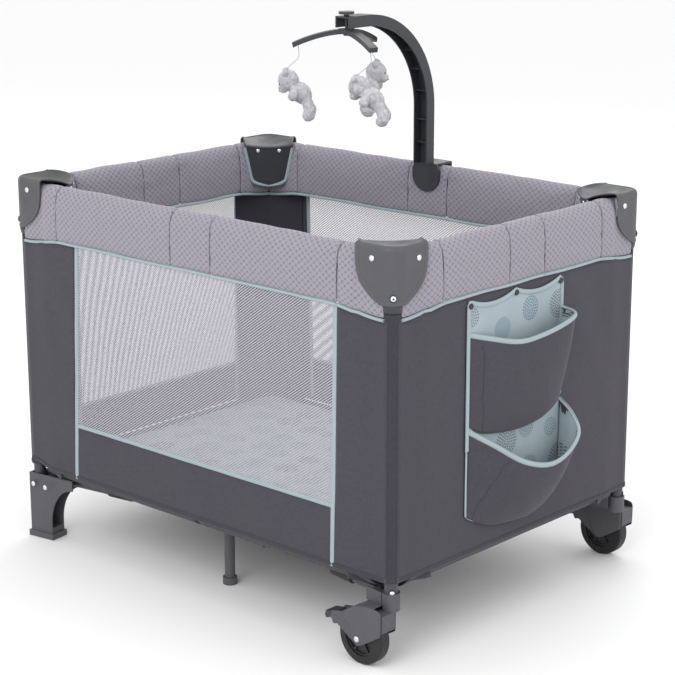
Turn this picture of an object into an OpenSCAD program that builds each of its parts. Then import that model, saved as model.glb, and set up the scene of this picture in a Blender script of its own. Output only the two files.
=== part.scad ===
// Folding travel play yard: a steel tube frame with fabric sides, a folding
// mattress, a hang-on organizer and a clip-on mobile with three soft toys.
// Origin: middle of the hub foot's underside, on the floor. X runs along the
// long sides, Y along the short sides, Z is up. All sizes are in millimetres.

/* [Overall size] */
// Distance between the post centres along the long side
post_span_x = 950; // [800:10:1160]
// Distance between the post centres along the short side
post_span_y = 670; // [560:10:810]
// Height of the top of the corner caps
cap_top_z = 745; // [640:5:900]

/* [Tubes] */
// Radius of the corner posts
post_r = 12; // [10:0.5:14]
// Radius of the base tubes and cross tubes
base_r = 9; // [7:0.5:10]
// Radius of the top rails
rail_r = 11; // [9:0.5:13]
// Wall of every steel tube
tube_wall = 1.2; // [0.8:0.1:2]

/* [Base frame] */
// Height of the base hinges above the floor
base_z = 126; // [118:1:150]
// Distance from the yard's middle to the long side's middle leg
bracket_y = 257; // [210:1:280]
// Distance from the middle leg's centre to each base tube hinge
bracket_arm_x = 42; // [40:1:55]
// Distance from the hub's centre to each cross tube hinge
hub_arm_y = 28; // [28:1:40]
// Distance from the middle leg's centre back to the cross tube hinge
bracket_back_y = 20; // [20:1:26]
// Distance from a post to its base tube hinge, along X
foot_in_x = 32; // [30:1:40]
// Distance from a post to its base tube hinge, along Y
foot_in_y = 14; // [12:1:18]

/* [Corner caps] */
// Distance from a post to its top rail hinges
rail_in = 35; // [32:1:45]
// Length of a cap wing, from the post's centre
wing_len = 62; // [56:1:80]
// Height of a cap, from its lowest point to its top
cap_h = 109; // [90:1:130]
// Wall of the cap shells
cap_wall = 3.5; // [2.5:0.5:5]

/* [Top rails] */
// Depth of a rail's centreline below the cap's top
rail_drop = 45; // [40:1:60]
// Half length of the rail's centre joint, where the tube stops
joint_len = 46; // [44:1:60]

/* [Fabric] */
// Half width of the padded rail cover
pad_half = 21; // [19:0.5:26]
// Thickness of the padded rail cover
pad_wall = 4; // [3:0.5:5]
// Height of the padded rail cover
pad_h = 105; // [90:1:120]
// Thickness of a fabric side
cloth_t = 3; // [2:0.5:4]
// Height of the lower hem above the floor
hem_z = 153; // [150:1:170]
// Thickness of the mattress
mattress_t = 23; // [15:1:40]

/* [Wheels] */
// Radius of a wheel
wheel_r = 49; // [44:1:52]
// Width of a tyre
wheel_w = 24; // [18:1:26]
// Distance from the post to the wheel's axle, along X
wheel_in_x = 42; // [38:1:46]
// Distance from the post to the wheel's middle, along Y
wheel_out_y = 21; // [20:1:24]

/* [Mobile] */
// Height of the mobile's arm above the corner caps
mobile_rise = 300; // [270:5:350]
// Radius of the bend in the mobile's arm
mobile_bend_r = 185; // [150:5:200]
// Radius at which the toys hang
toy_r = 89; // [70:1:100]
// Length of a toy's string
string_len = 54; // [40:1:80]

/* [Hidden] */

$fn = 64;
eps = 0.02;
gap = 0.5;             // clearance between parts that move past each other
pin_fit = 0.05;        // radial clearance of every hinge pin
half_x = post_span_x / 2;
half_y = post_span_y / 2;
rail_z = cap_top_z - rail_drop;
cap_low_z = cap_top_z - cap_h;
mobile_top_z = cap_top_z + mobile_rise;
rail_len_x = half_x - rail_in;
rail_len_y = half_y - rail_in;
beta = atan2(half_y - foot_in_y - bracket_y, half_x - foot_in_x - bracket_arm_x);
base_len = norm([half_x - foot_in_x - bracket_arm_x, half_y - foot_in_y - bracket_y]);
cross_len = bracket_y - bracket_back_y - hub_arm_y;

// hinges
pin_r = 3;             // radius of every hinge pin
knuckle_r = 10;        // radius of a tube's flattened end
knuckle_half = 7.5;    // half thickness of a tube's flattened end
ear_gap = knuckle_half + 0.3;
ear_t = 3;             // thickness of an ear
ear_r = 11;            // radius of an ear
tube_start = 13.5;     // distance from a hinge to the full round tube
rail_knuckle_r = 11.5; // radius of a rail's outer end

frame_grey = [0.20, 0.20, 0.22];
plastic_grey = [0.40, 0.40, 0.42];
dark_plastic = [0.26, 0.26, 0.28];
steel = [0.75, 0.76, 0.78];
rubber = [0.07, 0.07, 0.07];
pad_lilac = [0.66, 0.64, 0.69];
cloth_dark = [0.32, 0.31, 0.35];
cloth_pale = [0.80, 0.83, 0.86];
plush = [0.93, 0.93, 0.93];

// ---- helpers ----

// children() copied into the corner that sx and sy name
module corner(sx, sy) {
  mirror([sx < 0 ? 1 : 0, 0, 0])
    mirror([0, sy < 0 ? 1 : 0, 0])
      translate([half_x, half_y, 0])
        children();
}

// children() mirrored to the front when sy is negative
module side_y(sy) {
  mirror([0, sy < 0 ? 1 : 0, 0]) children();
}

// children() mirrored to the left when sx is negative
module side_x(sx) {
  mirror([sx < 0 ? 1 : 0, 0, 0]) children();
}

// a box from its two opposite corners
module slab(lo, hi) {
  translate(lo) cube(hi - lo);
}

// cylinder along Y, centred on the origin
module rod_y(r, length) {
  rotate([90, 0, 0]) cylinder(r = r, h = length, center = true);
}

// cylinder along X, centred on the origin
module rod_x(r, length) {
  rotate([0, 90, 0]) cylinder(r = r, h = length, center = true);
}

// outline in X and Z, extruded along Y between two planes
module plate_xz(y0, y1) {
  translate([0, y1, 0]) rotate([90, 0, 0]) linear_extrude(y1 - y0) children();
}

// hollow tube along +X from x0 to x1
module tube_x(r, x0, x1) {
  translate([(x0 + x1) / 2, 0, 0]) difference() {
    rod_x(r, x1 - x0);
    rod_x(r - tube_wall, x1 - x0 + 1);
  }
}

// flattened tube end with a bore along Y; the tube lies on its +X side
module knuckle(r) {
  difference() {
    union() {
      rod_y(r, 2 * knuckle_half);
      slab([0, -knuckle_half, -base_r * 0.6], [tube_start + 2, knuckle_half, base_r * 0.6]);
      translate([tube_start + 1, 0, 0]) rod_x(base_r - tube_wall, 3);
    }
    rod_y(pin_r + pin_fit, 4 * knuckle_half);
  }
}

// tube between two hinges on the X axis, with a knuckle at each end
module hinged_tube(length) {
  tube_x(base_r, tube_start, length - tube_start);
  knuckle(knuckle_r);
  translate([length, 0, 0]) mirror([1, 0, 0]) knuckle(knuckle_r);
}

// two ears with a pin along Y, reaching back to x = -reach
module clevis(reach) {
  for (s = [-1, 1]) {
    translate([0, s * (ear_gap + ear_t / 2), 0]) {
      rod_y(ear_r, ear_t);
      translate([-reach / 2, 0, 0]) cube([reach, ear_t, 2 * ear_r * 0.9], center = true);
    }
  }
  rod_y(pin_r, 2 * (ear_gap + ear_t) + 2);
}

// ---- base frame ----

hub_half_x = 32;
hub_half_y = hub_arm_y - knuckle_r - gap;
hub_low = 16;
hub_high = 12;
hub_foot_r = 17;
hub_wall = 4;
recess_h = 20;             // depth of the finger recess under the pull bar
pull_r = 2.5;              // radius of the pull bar
foot_pad_h = 14;

module hub_housing() {
  color(plastic_grey) {
    translate([0, 0, base_z]) {
      difference() {
        slab([-hub_half_x, -hub_half_y, -hub_low], [hub_half_x, hub_half_y, hub_high]);
        slab([-hub_half_x + hub_wall, -hub_half_y + hub_wall, hub_high - recess_h],
             [hub_half_x - hub_wall, hub_half_y - hub_wall, hub_high + 1]);
      }
      for (s = [-1, 1]) {
        translate([0, s * hub_arm_y, 0])
          rotate([0, 0, s * 90])
            clevis(hub_arm_y - hub_half_y + 3);
      }
      // pull bar across the recess, for the hand that folds the yard
      translate([0, 0, hub_high - pull_r - 0.5]) rod_x(pull_r, 2 * hub_half_x - hub_wall);
    }
    translate([0, 0, foot_pad_h]) cylinder(r = 11, h = base_z - hub_low - foot_pad_h + 1);
  }
  color(rubber) cylinder(r = hub_foot_r, h = foot_pad_h);
}

module cross_tube(sy) {
  color(frame_grey) side_y(sy)
    translate([0, hub_arm_y, base_z]) rotate([0, 0, 90]) hinged_tube(cross_len);
}

bracket_half_x = bracket_arm_x - knuckle_r - 2;
bracket_out = 16;
bracket_in = bracket_back_y - knuckle_r - 2;
centre_leg_r = 10;
centre_leg_y = 4;

module leg_bracket(sy) {
  side_y(sy) {
    color(plastic_grey) translate([0, bracket_y, base_z]) {
      slab([-bracket_half_x, -bracket_in, -hub_low], [bracket_half_x, bracket_out, hub_high]);
      for (s = [-1, 1]) {
        side_x(s) translate([bracket_arm_x, 0, 0])
          rotate([0, 0, beta]) clevis(bracket_arm_x - bracket_half_x + 4);
      }
      translate([0, -bracket_back_y, 0])
        rotate([0, 0, -90]) clevis(bracket_back_y - bracket_in + 3);
    }
    color(frame_grey) translate([0, bracket_y + centre_leg_y, foot_pad_h])
      cylinder(r = centre_leg_r, h = base_z - hub_low - foot_pad_h + 1);
    color(rubber) translate([0, bracket_y + centre_leg_y, 0]) cylinder(r = 14, h = foot_pad_h);
  }
}

module base_tube(sx, sy) {
  color(frame_grey) side_x(sx) side_y(sy)
    translate([bracket_arm_x, bracket_y, base_z])
      rotate([0, 0, beta]) hinged_tube(base_len);
}

// ---- posts, feet and casters ----

post_seat_z = 24;                              // where a post stands in its foot
fender_gap = 3;                                // tyre to fender
fender_r = wheel_r + fender_gap;
fender_wall = 3;
socket_z = wheel_r + fender_r + fender_wall;   // where a post stands in its caster

module post(sx, sy) {
  low = sx < 0 ? post_seat_z : socket_z + 3;
  color(frame_grey) corner(sx, sy) translate([0, 0, low]) difference() {
    cylinder(r = post_r, h = cap_top_z - 10 - low);
    translate([0, 0, -1]) cylinder(r = post_r - tube_wall, h = cap_top_z);
  }
}

foot_top_z = base_z + 10;
foot_pivot_x = foot_in_x * cos(beta) + foot_in_y * sin(beta);
foot_pivot_y = foot_in_y * cos(beta) - foot_in_x * sin(beta);
foot_out = post_r + 0.5;                       // inner face of the outer plate
foot_in = foot_pivot_y + base_r + gap;         // inner face of the inner plate
foot_reach = 98;                               // length of a foot's arm
foot_low_w = 40;                               // width of a foot near the floor

// spacers and pin that hold a base tube's end between two plates
module foot_hinge() {
  translate([-foot_pivot_x, -foot_pivot_y, base_z]) {
    y_out = foot_pivot_y + foot_out;
    translate([0, (ear_gap + y_out) / 2, 0]) rod_y(9, y_out - ear_gap);
    y_in = foot_in - foot_pivot_y;
    translate([0, -(ear_gap + y_in) / 2, 0]) rod_y(9, y_in - ear_gap);
    rod_y(pin_r, 2 * ear_gap + 2);
  }
}

// side outline of a foot: wide at the top, with a hollow curve to the floor
module foot_outline() {
  top = foot_top_z;
  arm = 22;
  curve_w = foot_reach - foot_low_w;
  curve_h = top - arm - 34;
  polygon(concat(
    [[foot_out + 3, 0], [foot_out + 3, top], [-foot_reach, top], [-foot_reach, top - arm]],
    [for (i = [1:12]) let (a = i * 7.5)
      [-foot_reach + curve_w * sin(a), top - arm - curve_h * (1 - cos(a))]],
    [[-foot_low_w, 0]]
  ));
}

module foot(sy) {
  corner(-1, sy) rotate([0, 0, beta]) {
    color(plastic_grey) {
      difference() {
        plate_xz(-foot_in - 3, foot_out + 3) foot_outline();
        slab([-foot_reach - 1, -foot_in, post_seat_z], [foot_out, foot_out, foot_top_z + 1]);
        // window that leaves the arm's underside open
        slab([-foot_reach - 1, -foot_in, -1], [-foot_low_w, foot_out, foot_top_z]);
      }
      foot_hinge();
    }
    color(rubber) slab([-foot_low_w - 4, -foot_in - 6, 0], [foot_out + 7, foot_out + 6, 12]);
  }
}

fender_half = wheel_w / 2 + 2;                 // inner half width of a fender
axle_r = 4;
brake_r = 2;                                   // radius of the brake lever's pin
brake_x = -fender_r - 3;                       // brake pin from the axle, along X
brake_z = 28;                                  // brake pin from the axle, along Z

// side outline of the fender plate, around the axle at the origin
module fender_outline() {
  outer = fender_r + fender_wall;
  intersection() {
    union() {
      circle(r = outer, $fn = 96);
      translate([0, 10]) square([outer, outer - 10]);
    }
    polygon([[-outer, 18], [-outer, outer], [outer, outer], [outer, 24], [8, -10],
             [-3, -13], [-12, -9]]);
  }
}

module caster_housing(sy) {
  corner(1, sy) {
    color(plastic_grey) {
      // fender over the wheel
      translate([-wheel_in_x, wheel_out_y, wheel_r]) {
        difference() {
          plate_xz(-fender_half - fender_wall, fender_half + fender_wall) fender_outline();
          rod_y(fender_r, 2 * fender_half);
        }
        // ears of the brake lever
        for (s = [-1, 1]) {
          translate([0, s * (fender_half + fender_wall / 2), 0]) difference() {
            plate_xz(-fender_wall / 2, fender_wall / 2)
              polygon([[-fender_r - 6, 12], [-fender_r - 14, 26], [-fender_r - 8, 36],
                       [-fender_r + 14, 40], [-fender_r + 14, 18]]);
            translate([brake_x, 0, brake_z]) rod_y(brake_r + pin_fit, 2 * fender_wall);
          }
        }
      }
      // socket around the post
      translate([0, 0, socket_z]) difference() {
        cylinder(r = post_r + 4, h = foot_top_z - socket_z);
        translate([0, 0, 3]) cylinder(r = post_r, h = foot_top_z);
      }
      // two plates that hold the base tube's end
      rotate([0, 0, beta]) {
        for (y = [[foot_out, foot_out + 3], [-foot_in - 3, -foot_in]]) {
          slab([-foot_pivot_x - 14, y[0], base_z - 14], [-post_r + 4, y[1], foot_top_z]);
        }
        slab([-foot_pivot_x + 12, -foot_in - 1, base_z - 14], [-post_r, foot_out + 1, base_z - 8]);
        foot_hinge();
      }
    }
    color(steel) translate([-wheel_in_x, wheel_out_y, wheel_r])
      rod_y(axle_r, 2 * (fender_half + fender_wall) + 4);
  }
}

tyre_depth = 15;

module tyre(sy) {
  color(rubber) corner(1, sy) translate([-wheel_in_x, wheel_out_y, wheel_r]) rotate([90, 0, 0])
    rotate_extrude($fn = 96) difference() {
      union() {
        translate([wheel_r - tyre_depth, -wheel_w / 2]) square([tyre_depth - 4, wheel_w]);
        translate([wheel_r - tyre_depth, -wheel_w / 2 + 4]) square([tyre_depth, wheel_w - 8]);
        for (s = [-1, 1]) translate([wheel_r - 4, s * (wheel_w / 2 - 4)]) circle(r = 4, $fn = 32);
      }
    }
}

module wheel_rim(sy) {
  color(dark_plastic) corner(1, sy) translate([-wheel_in_x, wheel_out_y, wheel_r])
    rotate([90, 0, 0]) difference() {
      union() {
        cylinder(r = wheel_r - tyre_depth, h = wheel_w - 6, center = true, $fn = 96);
        cylinder(r = 11, h = wheel_w, center = true);
      }
      cylinder(r = axle_r + pin_fit, h = wheel_w + 2, center = true);
      for (s = [-1, 1]) translate([0, 0, s * wheel_w / 2]) difference() {
        cylinder(r = wheel_r - tyre_depth - 4, h = wheel_w - 12, center = true);
        cylinder(r = 13, h = wheel_w, center = true);
        for (a = [0:60:300]) rotate([0, 0, a]) translate([12, -2, -wheel_w / 2]) cube([wheel_r, 4, wheel_w]);
      }
    }
}

module brake_lever(sy) {
  color(dark_plastic) corner(1, sy)
    translate([-wheel_in_x, wheel_out_y, wheel_r]) translate([brake_x, 0, brake_z]) {
      plate_xz(-fender_half + gap, fender_half - gap) {
        circle(r = 5.5);
        polygon([[-3, -5], [-24, -12], [-27, -6], [-24, 2], [-3, 5.5]]);
      }
      rod_y(brake_r, 2 * (fender_half + fender_wall));
    }
}

// ---- corner caps ----

cap_out = post_r + 11;             // outer face of the cap
cap_gap = cap_out - cap_wall;      // inner face of the cap
cap_mid_z = cap_top_z - 42;        // where the wings start to narrow
cap_top_t = 3.5;                   // thickness of the cap's top

// side outline of a cap wing: straight at the tip, a quarter oval to the post
module wing_outline(reach) {
  polygon(concat(
    [[cap_out + 1, cap_low_z - 1], [cap_out + 1, cap_top_z], [-reach, cap_top_z]],
    [for (i = [0:12]) let (a = i * 7.5)
      [-reach * pow(cos(a), 1.1), cap_mid_z - (cap_mid_z - cap_low_z) * pow(sin(a), 1.1)]],
    [[0, cap_low_z - 1]]
  ));
}

// both wings of a corner, cut from a plan outline
module both_wings(reach) {
  intersection() {
    translate([0, 0, cap_low_z]) linear_extrude(cap_h) children();
    union() {
      plate_xz(0, cap_out + 1) wing_outline(reach);
      rotate([0, 0, 90]) mirror([0, 1, 0]) plate_xz(0, cap_out + 1) wing_outline(reach);
    }
  }
}

// outer shell: front band of the L, closed at the top
module cap(sx, sy) {
  corner(sx, sy) {
    color(plastic_grey) {
      both_wings(wing_len) difference() {
        union() {
          circle(r = cap_out);
          translate([-wing_len, 0]) square([wing_len, cap_out]);
          translate([0, -wing_len]) square([cap_out, wing_len]);
        }
        circle(r = cap_gap);
        translate([-wing_len - 1, -1]) square([wing_len + 1, cap_gap + 1]);
        translate([-1, -wing_len - 1]) square([cap_gap + 1, wing_len + 1]);
      }
      translate([0, 0, cap_top_z - cap_top_t]) linear_extrude(cap_top_t) difference() {
        union() {
          circle(r = cap_gap + 0.5);
          translate([-wing_len, -cap_out]) square([wing_len, cap_out + cap_gap + 0.5]);
          translate([-cap_out, -wing_len]) square([cap_out + cap_gap + 0.5, wing_len]);
        }
        translate([-wing_len, -wing_len]) square([wing_len - cap_out - 12, wing_len - cap_out - 12]);
      }
      // collar around the post
      translate([0, 0, cap_low_z - 9]) difference() {
        cylinder(r = post_r + 4, h = 12);
        translate([0, 0, -1]) cylinder(r = post_r, h = 14);
      }
      translate([0, 0, cap_low_z]) difference() {
        cylinder(r = cap_gap + 0.5, h = 4);
        translate([0, 0, -1]) cylinder(r = post_r, h = 6);
        translate([-40, -40, -1]) cube([40, 80, 6]);
        translate([-40, -40, -1]) cube([80, 40, 6]);
      }
    }
    // hinge pins of the two rails
    color(steel) {
      translate([-rail_in, 0.25, rail_z]) rod_y(pin_r, 2 * cap_gap + 0.5);
      translate([0.25, -rail_in, rail_z]) rod_x(pin_r, 2 * cap_gap + 0.5);
    }
  }
}

// inner shell: the back of the L, with a slanted middle
module cap_inner(sx, sy) {
  color(dark_plastic) corner(sx, sy)
    intersection() {
      translate([0, 0, cap_low_z + 24]) linear_extrude(cap_h - 24 - cap_top_t)
        polygon([[-wing_len, -cap_gap], [-cap_gap - 16, -cap_gap], [-cap_gap, -cap_gap - 16],
                 [-cap_gap, -wing_len], [-cap_out, -wing_len], [-cap_out, -cap_out - 17.5],
                 [-cap_out - 17.5, -cap_out], [-wing_len, -cap_out]]);
      union() {
        plate_xz(-wing_len - 1, 0) wing_outline(wing_len);
        rotate([0, 0, 90]) mirror([0, 1, 0]) plate_xz(-wing_len - 1, 0) wing_outline(wing_len);
      }
    }
}

// ---- top rails ----

lug_h = 9;             // half height of the centre joint's lugs
lug_t = 4;             // half thickness of the tongue
open_fit = 2.6;        // radial clearance of the centre pin, which floats as the rails fold

// half rail along -X from its hinge at the origin; tongue or fork at the centre
module half_rail(length, tongue) {
  difference() {
    union() {
      rod_y(rail_knuckle_r, 2 * rail_r - 4);
      translate([-rail_in / 2, 0, 0]) rod_x(rail_r, 6);
      slab([-rail_in / 2, -rail_r + 2, -lug_h], [0, rail_r - 2, lug_h]);
    }
    rod_y(pin_r + pin_fit, 4 * rail_r);
  }
  mirror([1, 0, 0]) tube_x(rail_r, rail_in / 2, length - joint_len);
  translate([-length, 0, 0]) {
    if (tongue) {
      difference() {
        union() {
          rod_y(lug_h, 2 * lug_t);
          slab([0, -lug_t, -lug_h], [joint_len, lug_t, lug_h]);
        }
        rod_y(pin_r + open_fit, 4 * lug_t);
      }
    } else {
      for (s = [-1, 1]) translate([0, s * (lug_t + 0.4 + 2), 0]) {
        rod_y(lug_h, 4);
        slab([0, -2, -lug_h], [joint_len, 2, lug_h]);
      }
      rod_y(pin_r, 2 * (lug_t + 4));
    }
    translate([joint_len - 1, 0, 0]) rod_x(rail_r, 6);
  }
}

// half of a long rail; the left half carries the fork
module rail_long(sx, sy) {
  color(frame_grey) corner(sx, sy)
    translate([-rail_in, 0, rail_z]) half_rail(rail_len_x, sx > 0);
}

// half of a short rail; the front half carries the fork
module rail_short(sx, sy) {
  color(frame_grey) corner(sx, sy)
    translate([0, -rail_in, rail_z]) rotate([0, 0, 90]) half_rail(rail_len_y, sy > 0);
}

lock_half = rail_r + 4.5;   // outer half width of a lock housing
lock_wall = 2.5;
lock_back = 72;             // reach of a housing over the fork's half
lock_front = 50;            // reach under the tongue's half
lock_deep = 9;              // depth of the housing's floor below the rail
lock_top = rail_r + 5.5;    // height of the roof over the fork's half
lock_roof = 46;             // where the roof stops, back from the joint
lock_side_top = 6;          // height of the side walls beyond the roof
button_x = -59;             // middle of the button
button_half = 7;
button_travel = 3.5;
button_fit = 0.4;

// lock housing around a rail's centre, along X; open above the joint, which
// folds downwards
module lock_body() {
  difference() {
    slab([-lock_back, -lock_half, -rail_r - lock_deep], [lock_front, lock_half, lock_top]);
    slab([-lock_back + 3, -lock_half + lock_wall, -rail_r - lock_deep + lock_wall],
         [lock_front + 1, lock_half - lock_wall, lock_top - lock_wall]);
    slab([-lock_roof, -lock_half - 1, lock_side_top],
         [lock_front + 1, lock_half + 1, lock_top + 1]);
    rod_x(rail_r, 4 * lock_back);
    slab([button_x - button_half - button_fit, -button_half - button_fit, -rail_r - lock_deep - 1],
         [button_x + button_half + button_fit, button_half + button_fit, -rail_r - 5]);
  }
}

module button_body() {
  slab([button_x - button_half, -button_half, -rail_r - 12],
       [button_x + button_half, button_half, -rail_r - button_travel - 0.8]);
}

// a centre part of the front or back rail, or of the left or right rail
module on_long_rail(sy) {
  side_y(sy) translate([0, half_y, rail_z]) children();
}

module on_short_rail(sx) {
  side_x(sx) translate([half_x, 0, rail_z]) rotate([0, 0, 90]) children();
}

// ---- fabric ----

pad_gap = pad_half - pad_wall;
pad_top_z = cap_top_z - 7;
pad_low_z = pad_top_z - pad_h;
wall_in = pad_half - cloth_t - 1;      // inner face of a side, from the posts' plane
side_inset = 5;                        // side's end, short of the post's centre

// padded rail cover and the side below it; long is half its length
module side_panel(half_len, wing_end) {
  pad_end = half_len - wing_end;
  difference() {
    slab([-pad_end, -pad_half, pad_low_z], [pad_end, pad_half, pad_top_z]);
    slab([-pad_end - 1, -pad_gap, pad_low_z - 1],
         [pad_end + 1, pad_gap, rail_z + rail_r + 6]);
  }
  slab([-half_len + side_inset, wall_in, hem_z],
       [half_len - side_inset, wall_in + cloth_t, pad_low_z + eps]);
}

module side_long(sy) {
  color(pad_lilac) side_y(sy)
    translate([0, half_y, 0]) side_panel(half_x, wing_len + 1);
}

module side_short(sx) {
  color(cloth_dark) side_x(sx)
    translate([half_x, 0, 0]) rotate([0, 0, -90]) side_panel(half_y, wing_len + 1);
}

mattress_z = base_z + hub_high + 3;
mattress_gap = 14;                     // mattress edge to the posts' plane
mattress_r = 50;

module mattress(sx) {
  color(cloth_pale) side_x(sx) translate([0, 0, mattress_z]) linear_extrude(mattress_t) {
    w = half_x - mattress_gap;
    d = half_y - mattress_gap;
    difference() {
      translate([0.5, -d]) square([w - 0.5, 2 * d]);
      for (s = [-1, 1]) difference() {
        translate([w - mattress_r, s > 0 ? d - mattress_r : -d - 1])
          square([mattress_r + 1, mattress_r + 1]);
        translate([w - mattress_r, s * (d - mattress_r)]) circle(r = mattress_r);
      }
    }
  }
}

organizer_near = -165;                 // front edge of the organizer, along Y
organizer_far = 107;                   // back edge
organizer_top = pad_low_z - 11;        // height of its top edge
organizer_low = organizer_top - 432;   // height of its bottom
organizer_t = 2.5;
upper_rim_z = organizer_top - 72;      // height of the upper pocket's rim
upper_low_z = organizer_top - 255;     // height of its floor
lower_rim_z = organizer_top - 275;     // height of the lower pocket's rim
upper_depth = 46;                      // how far the upper pocket stands out
lower_depth = 58;                      // how far the lower pocket stands out

// plan of a pocket: flat along its front end, fullest towards the back
module pocket_plan(depth, inset) {
  near = organizer_near + inset;
  far = organizer_far - inset;
  n = 14;
  polygon(concat(
    [[0, near]],
    [for (i = [0:n]) let (t = i / n)
      [depth * (0.12 + 0.88 * sin(180 * pow(t, 2.4))), near + (far - near) * t]],
    [[0, far]]
  ));
}

module pocket(depth, low_z, rim_z, inset) {
  translate([0, 0, low_z]) difference() {
    linear_extrude(rim_z - low_z) pocket_plan(depth, inset);
    translate([organizer_t, 0, organizer_t]) linear_extrude(rim_z)
      pocket_plan(depth - 2 * organizer_t, inset + organizer_t);
  }
}

module organizer() {
  color(cloth_dark) translate([half_x + wall_in + cloth_t + gap, 0, 0]) {
    slab([0, organizer_near, organizer_low], [organizer_t, organizer_far, organizer_top]);
    pocket(upper_depth, upper_low_z, upper_rim_z, 0);
    pocket(lower_depth, organizer_low, lower_rim_z, 6);
  }
}

// ---- mobile ----

clamp_half = 35;
clamp_t = 5;
clamp_y = half_y - pad_half - gap - clamp_t;
arm_w = 36;
arm_d = 22;
arm_wall = 3;
arm_y = clamp_y - arm_d / 2 + clamp_t;
clamp_top_z = pad_top_z + gap + 4.5;   // top of the clamp, where the arm stands
spin_y = arm_y - mobile_bend_r - 46;   // the spinner's axis
spinner_z = mobile_top_z - arm_d / 2 - 1;
spinner_arm = 104;
toy_angles = [222, 342, 102];

module mobile_clamp() {
  color(dark_plastic) {
    intersection() {
      translate([0, clamp_y + clamp_t / 2, pad_top_z - 18]) rod_y(clamp_half + 1, clamp_t);
      slab([-clamp_half, 0, pad_top_z - 60], [clamp_half, half_y, clamp_top_z]);
    }
    slab([-clamp_half + 8, clamp_y, pad_top_z + gap],
         [clamp_half - 8, half_y + pad_half + gap + 4, clamp_top_z]);
    slab([-clamp_half + 8, half_y + pad_half + gap, pad_top_z - 38],
         [clamp_half - 8, half_y + pad_half + gap + 4, clamp_top_z]);
  }
}

// section of the arm: a channel that is open towards the yard
module channel() {
  difference() {
    translate([-arm_d / 2, -arm_w / 2]) square([arm_d, arm_w]);
    translate([-arm_d / 2 - 1, -arm_w / 2 + arm_wall]) square([arm_d - arm_wall + 1, arm_w - 2 * arm_wall]);
  }
}

// a stiffening rib across the channel, as thick as it is drawn
module channel_rib() {
  translate([-arm_d / 2 + 5, -arm_w / 2 + 1, -1]) cube([arm_d - 6, arm_w - 2, 2]);
}

module mobile_arm() {
  straight_z = mobile_top_z - mobile_bend_r;
  color(dark_plastic) {
    translate([0, arm_y, clamp_top_z]) rotate([0, 0, 90]) {
      linear_extrude(straight_z - clamp_top_z) channel();
      for (z = [44:46:straight_z - clamp_top_z]) translate([0, 0, z]) channel_rib();
    }
    translate([0, arm_y - mobile_bend_r, straight_z]) rotate([90, 0, 90]) {
      rotate_extrude(angle = 90, $fn = 128)
        translate([mobile_bend_r, 0]) channel();
      for (a = [10, 25, 40]) rotate([0, 0, a]) translate([mobile_bend_r, 0, 0])
        rotate([-90, 0, 0]) channel_rib();
    }
    translate([0, spin_y - 12, mobile_top_z]) rotate([-90, 0, 0])
      linear_extrude(arm_y - mobile_bend_r - spin_y + 12)
        rotate([0, 0, -90]) channel();
    // knob above the arm and stem below it
    translate([0, spin_y, mobile_top_z + arm_d / 2 - 2]) cylinder(r = 5, h = 6);
    translate([0, spin_y, mobile_top_z + arm_d / 2 + 4]) cylinder(r = 15, h = 5);
    translate([0, spin_y, spinner_z - 12]) cylinder(r = 3, h = 24 + arm_d / 2);
    translate([0, spin_y, spinner_z - 14]) cylinder(r = 6, h = 3);
  }
}

spinner_hub_h = 9;

// one drooping arm of the spinner, along +X from its axis
module spinner_blade() {
  n = 10;
  drop = 26;
  function top(t) = -drop * pow(t, 1.8);
  plate_xz(-9, 9) polygon(concat(
    [for (i = [0:n]) let (t = i / n) [spinner_arm * t, top(t)]],
    [for (i = [n:-1:0]) let (t = i / n) [spinner_arm * t - 2 * t, top(t) - 9]]
  ));
}

module mobile_spinner() {
  color(dark_plastic) translate([0, spin_y, spinner_z]) difference() {
    union() {
      translate([0, 0, -spinner_hub_h - 1]) cylinder(r = 16, h = spinner_hub_h);
      for (a = toy_angles) rotate([0, 0, a]) translate([0, 0, -1]) spinner_blade();
    }
    translate([0, 0, -40]) cylinder(r = 3 + pin_fit, h = 60);
    translate([0, 0, -40]) cylinder(r = 7, h = 40 - spinner_hub_h - 1 + eps);
  }
}

toy_top_drop = 26 * pow(toy_r / spinner_arm, 1.8) + 1 + 9 + 1.8;
toy_head_r = 17;
toy_body_r = 19;

// soft toy on its string: string, head, body and two legs
module toy(angle) {
  color(plush) translate([0, spin_y, spinner_z - toy_top_drop]) rotate([0, 0, angle])
    translate([toy_r, 0, 0]) {
      translate([0, 0, -string_len]) cylinder(r = 0.9, h = string_len, $fn = 16);
      translate([0, 0, -string_len - toy_head_r + 3]) {
        sphere(r = toy_head_r, $fn = 48);
        translate([3, 0, -toy_head_r - 11]) sphere(r = toy_body_r, $fn = 48);
        for (s = [-1, 1]) translate([6, s * 9, -toy_head_r - 40]) {
          sphere(r = 9, $fn = 32);
          cylinder(r = 8, h = 22, $fn = 32);
        }
      }
    }
}

// ---- nodes ----

hub_housing();
cross_tube(-1);  // cross_tube_front
cross_tube(1);  // cross_tube_back
leg_bracket(-1);  // leg_bracket_front
leg_bracket(1);  // leg_bracket_back
base_tube(-1, -1);  // base_tube_front_left
base_tube(1, -1);  // base_tube_front_right
base_tube(-1, 1);  // base_tube_back_left
base_tube(1, 1);  // base_tube_back_right
post(-1, -1);  // post_front_left
post(1, -1);  // post_front_right
post(-1, 1);  // post_back_left
post(1, 1);  // post_back_right
cap(-1, -1);  // cap_front_left
cap(1, -1);  // cap_front_right
cap(-1, 1);  // cap_back_left
cap(1, 1);  // cap_back_right
cap_inner(-1, -1);  // cap_inner_front_left
cap_inner(1, -1);  // cap_inner_front_right
cap_inner(-1, 1);  // cap_inner_back_left
cap_inner(1, 1);  // cap_inner_back_right
foot(-1);  // foot_front_left
foot(1);  // foot_back_left
caster_housing(-1);  // caster_housing_front
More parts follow.
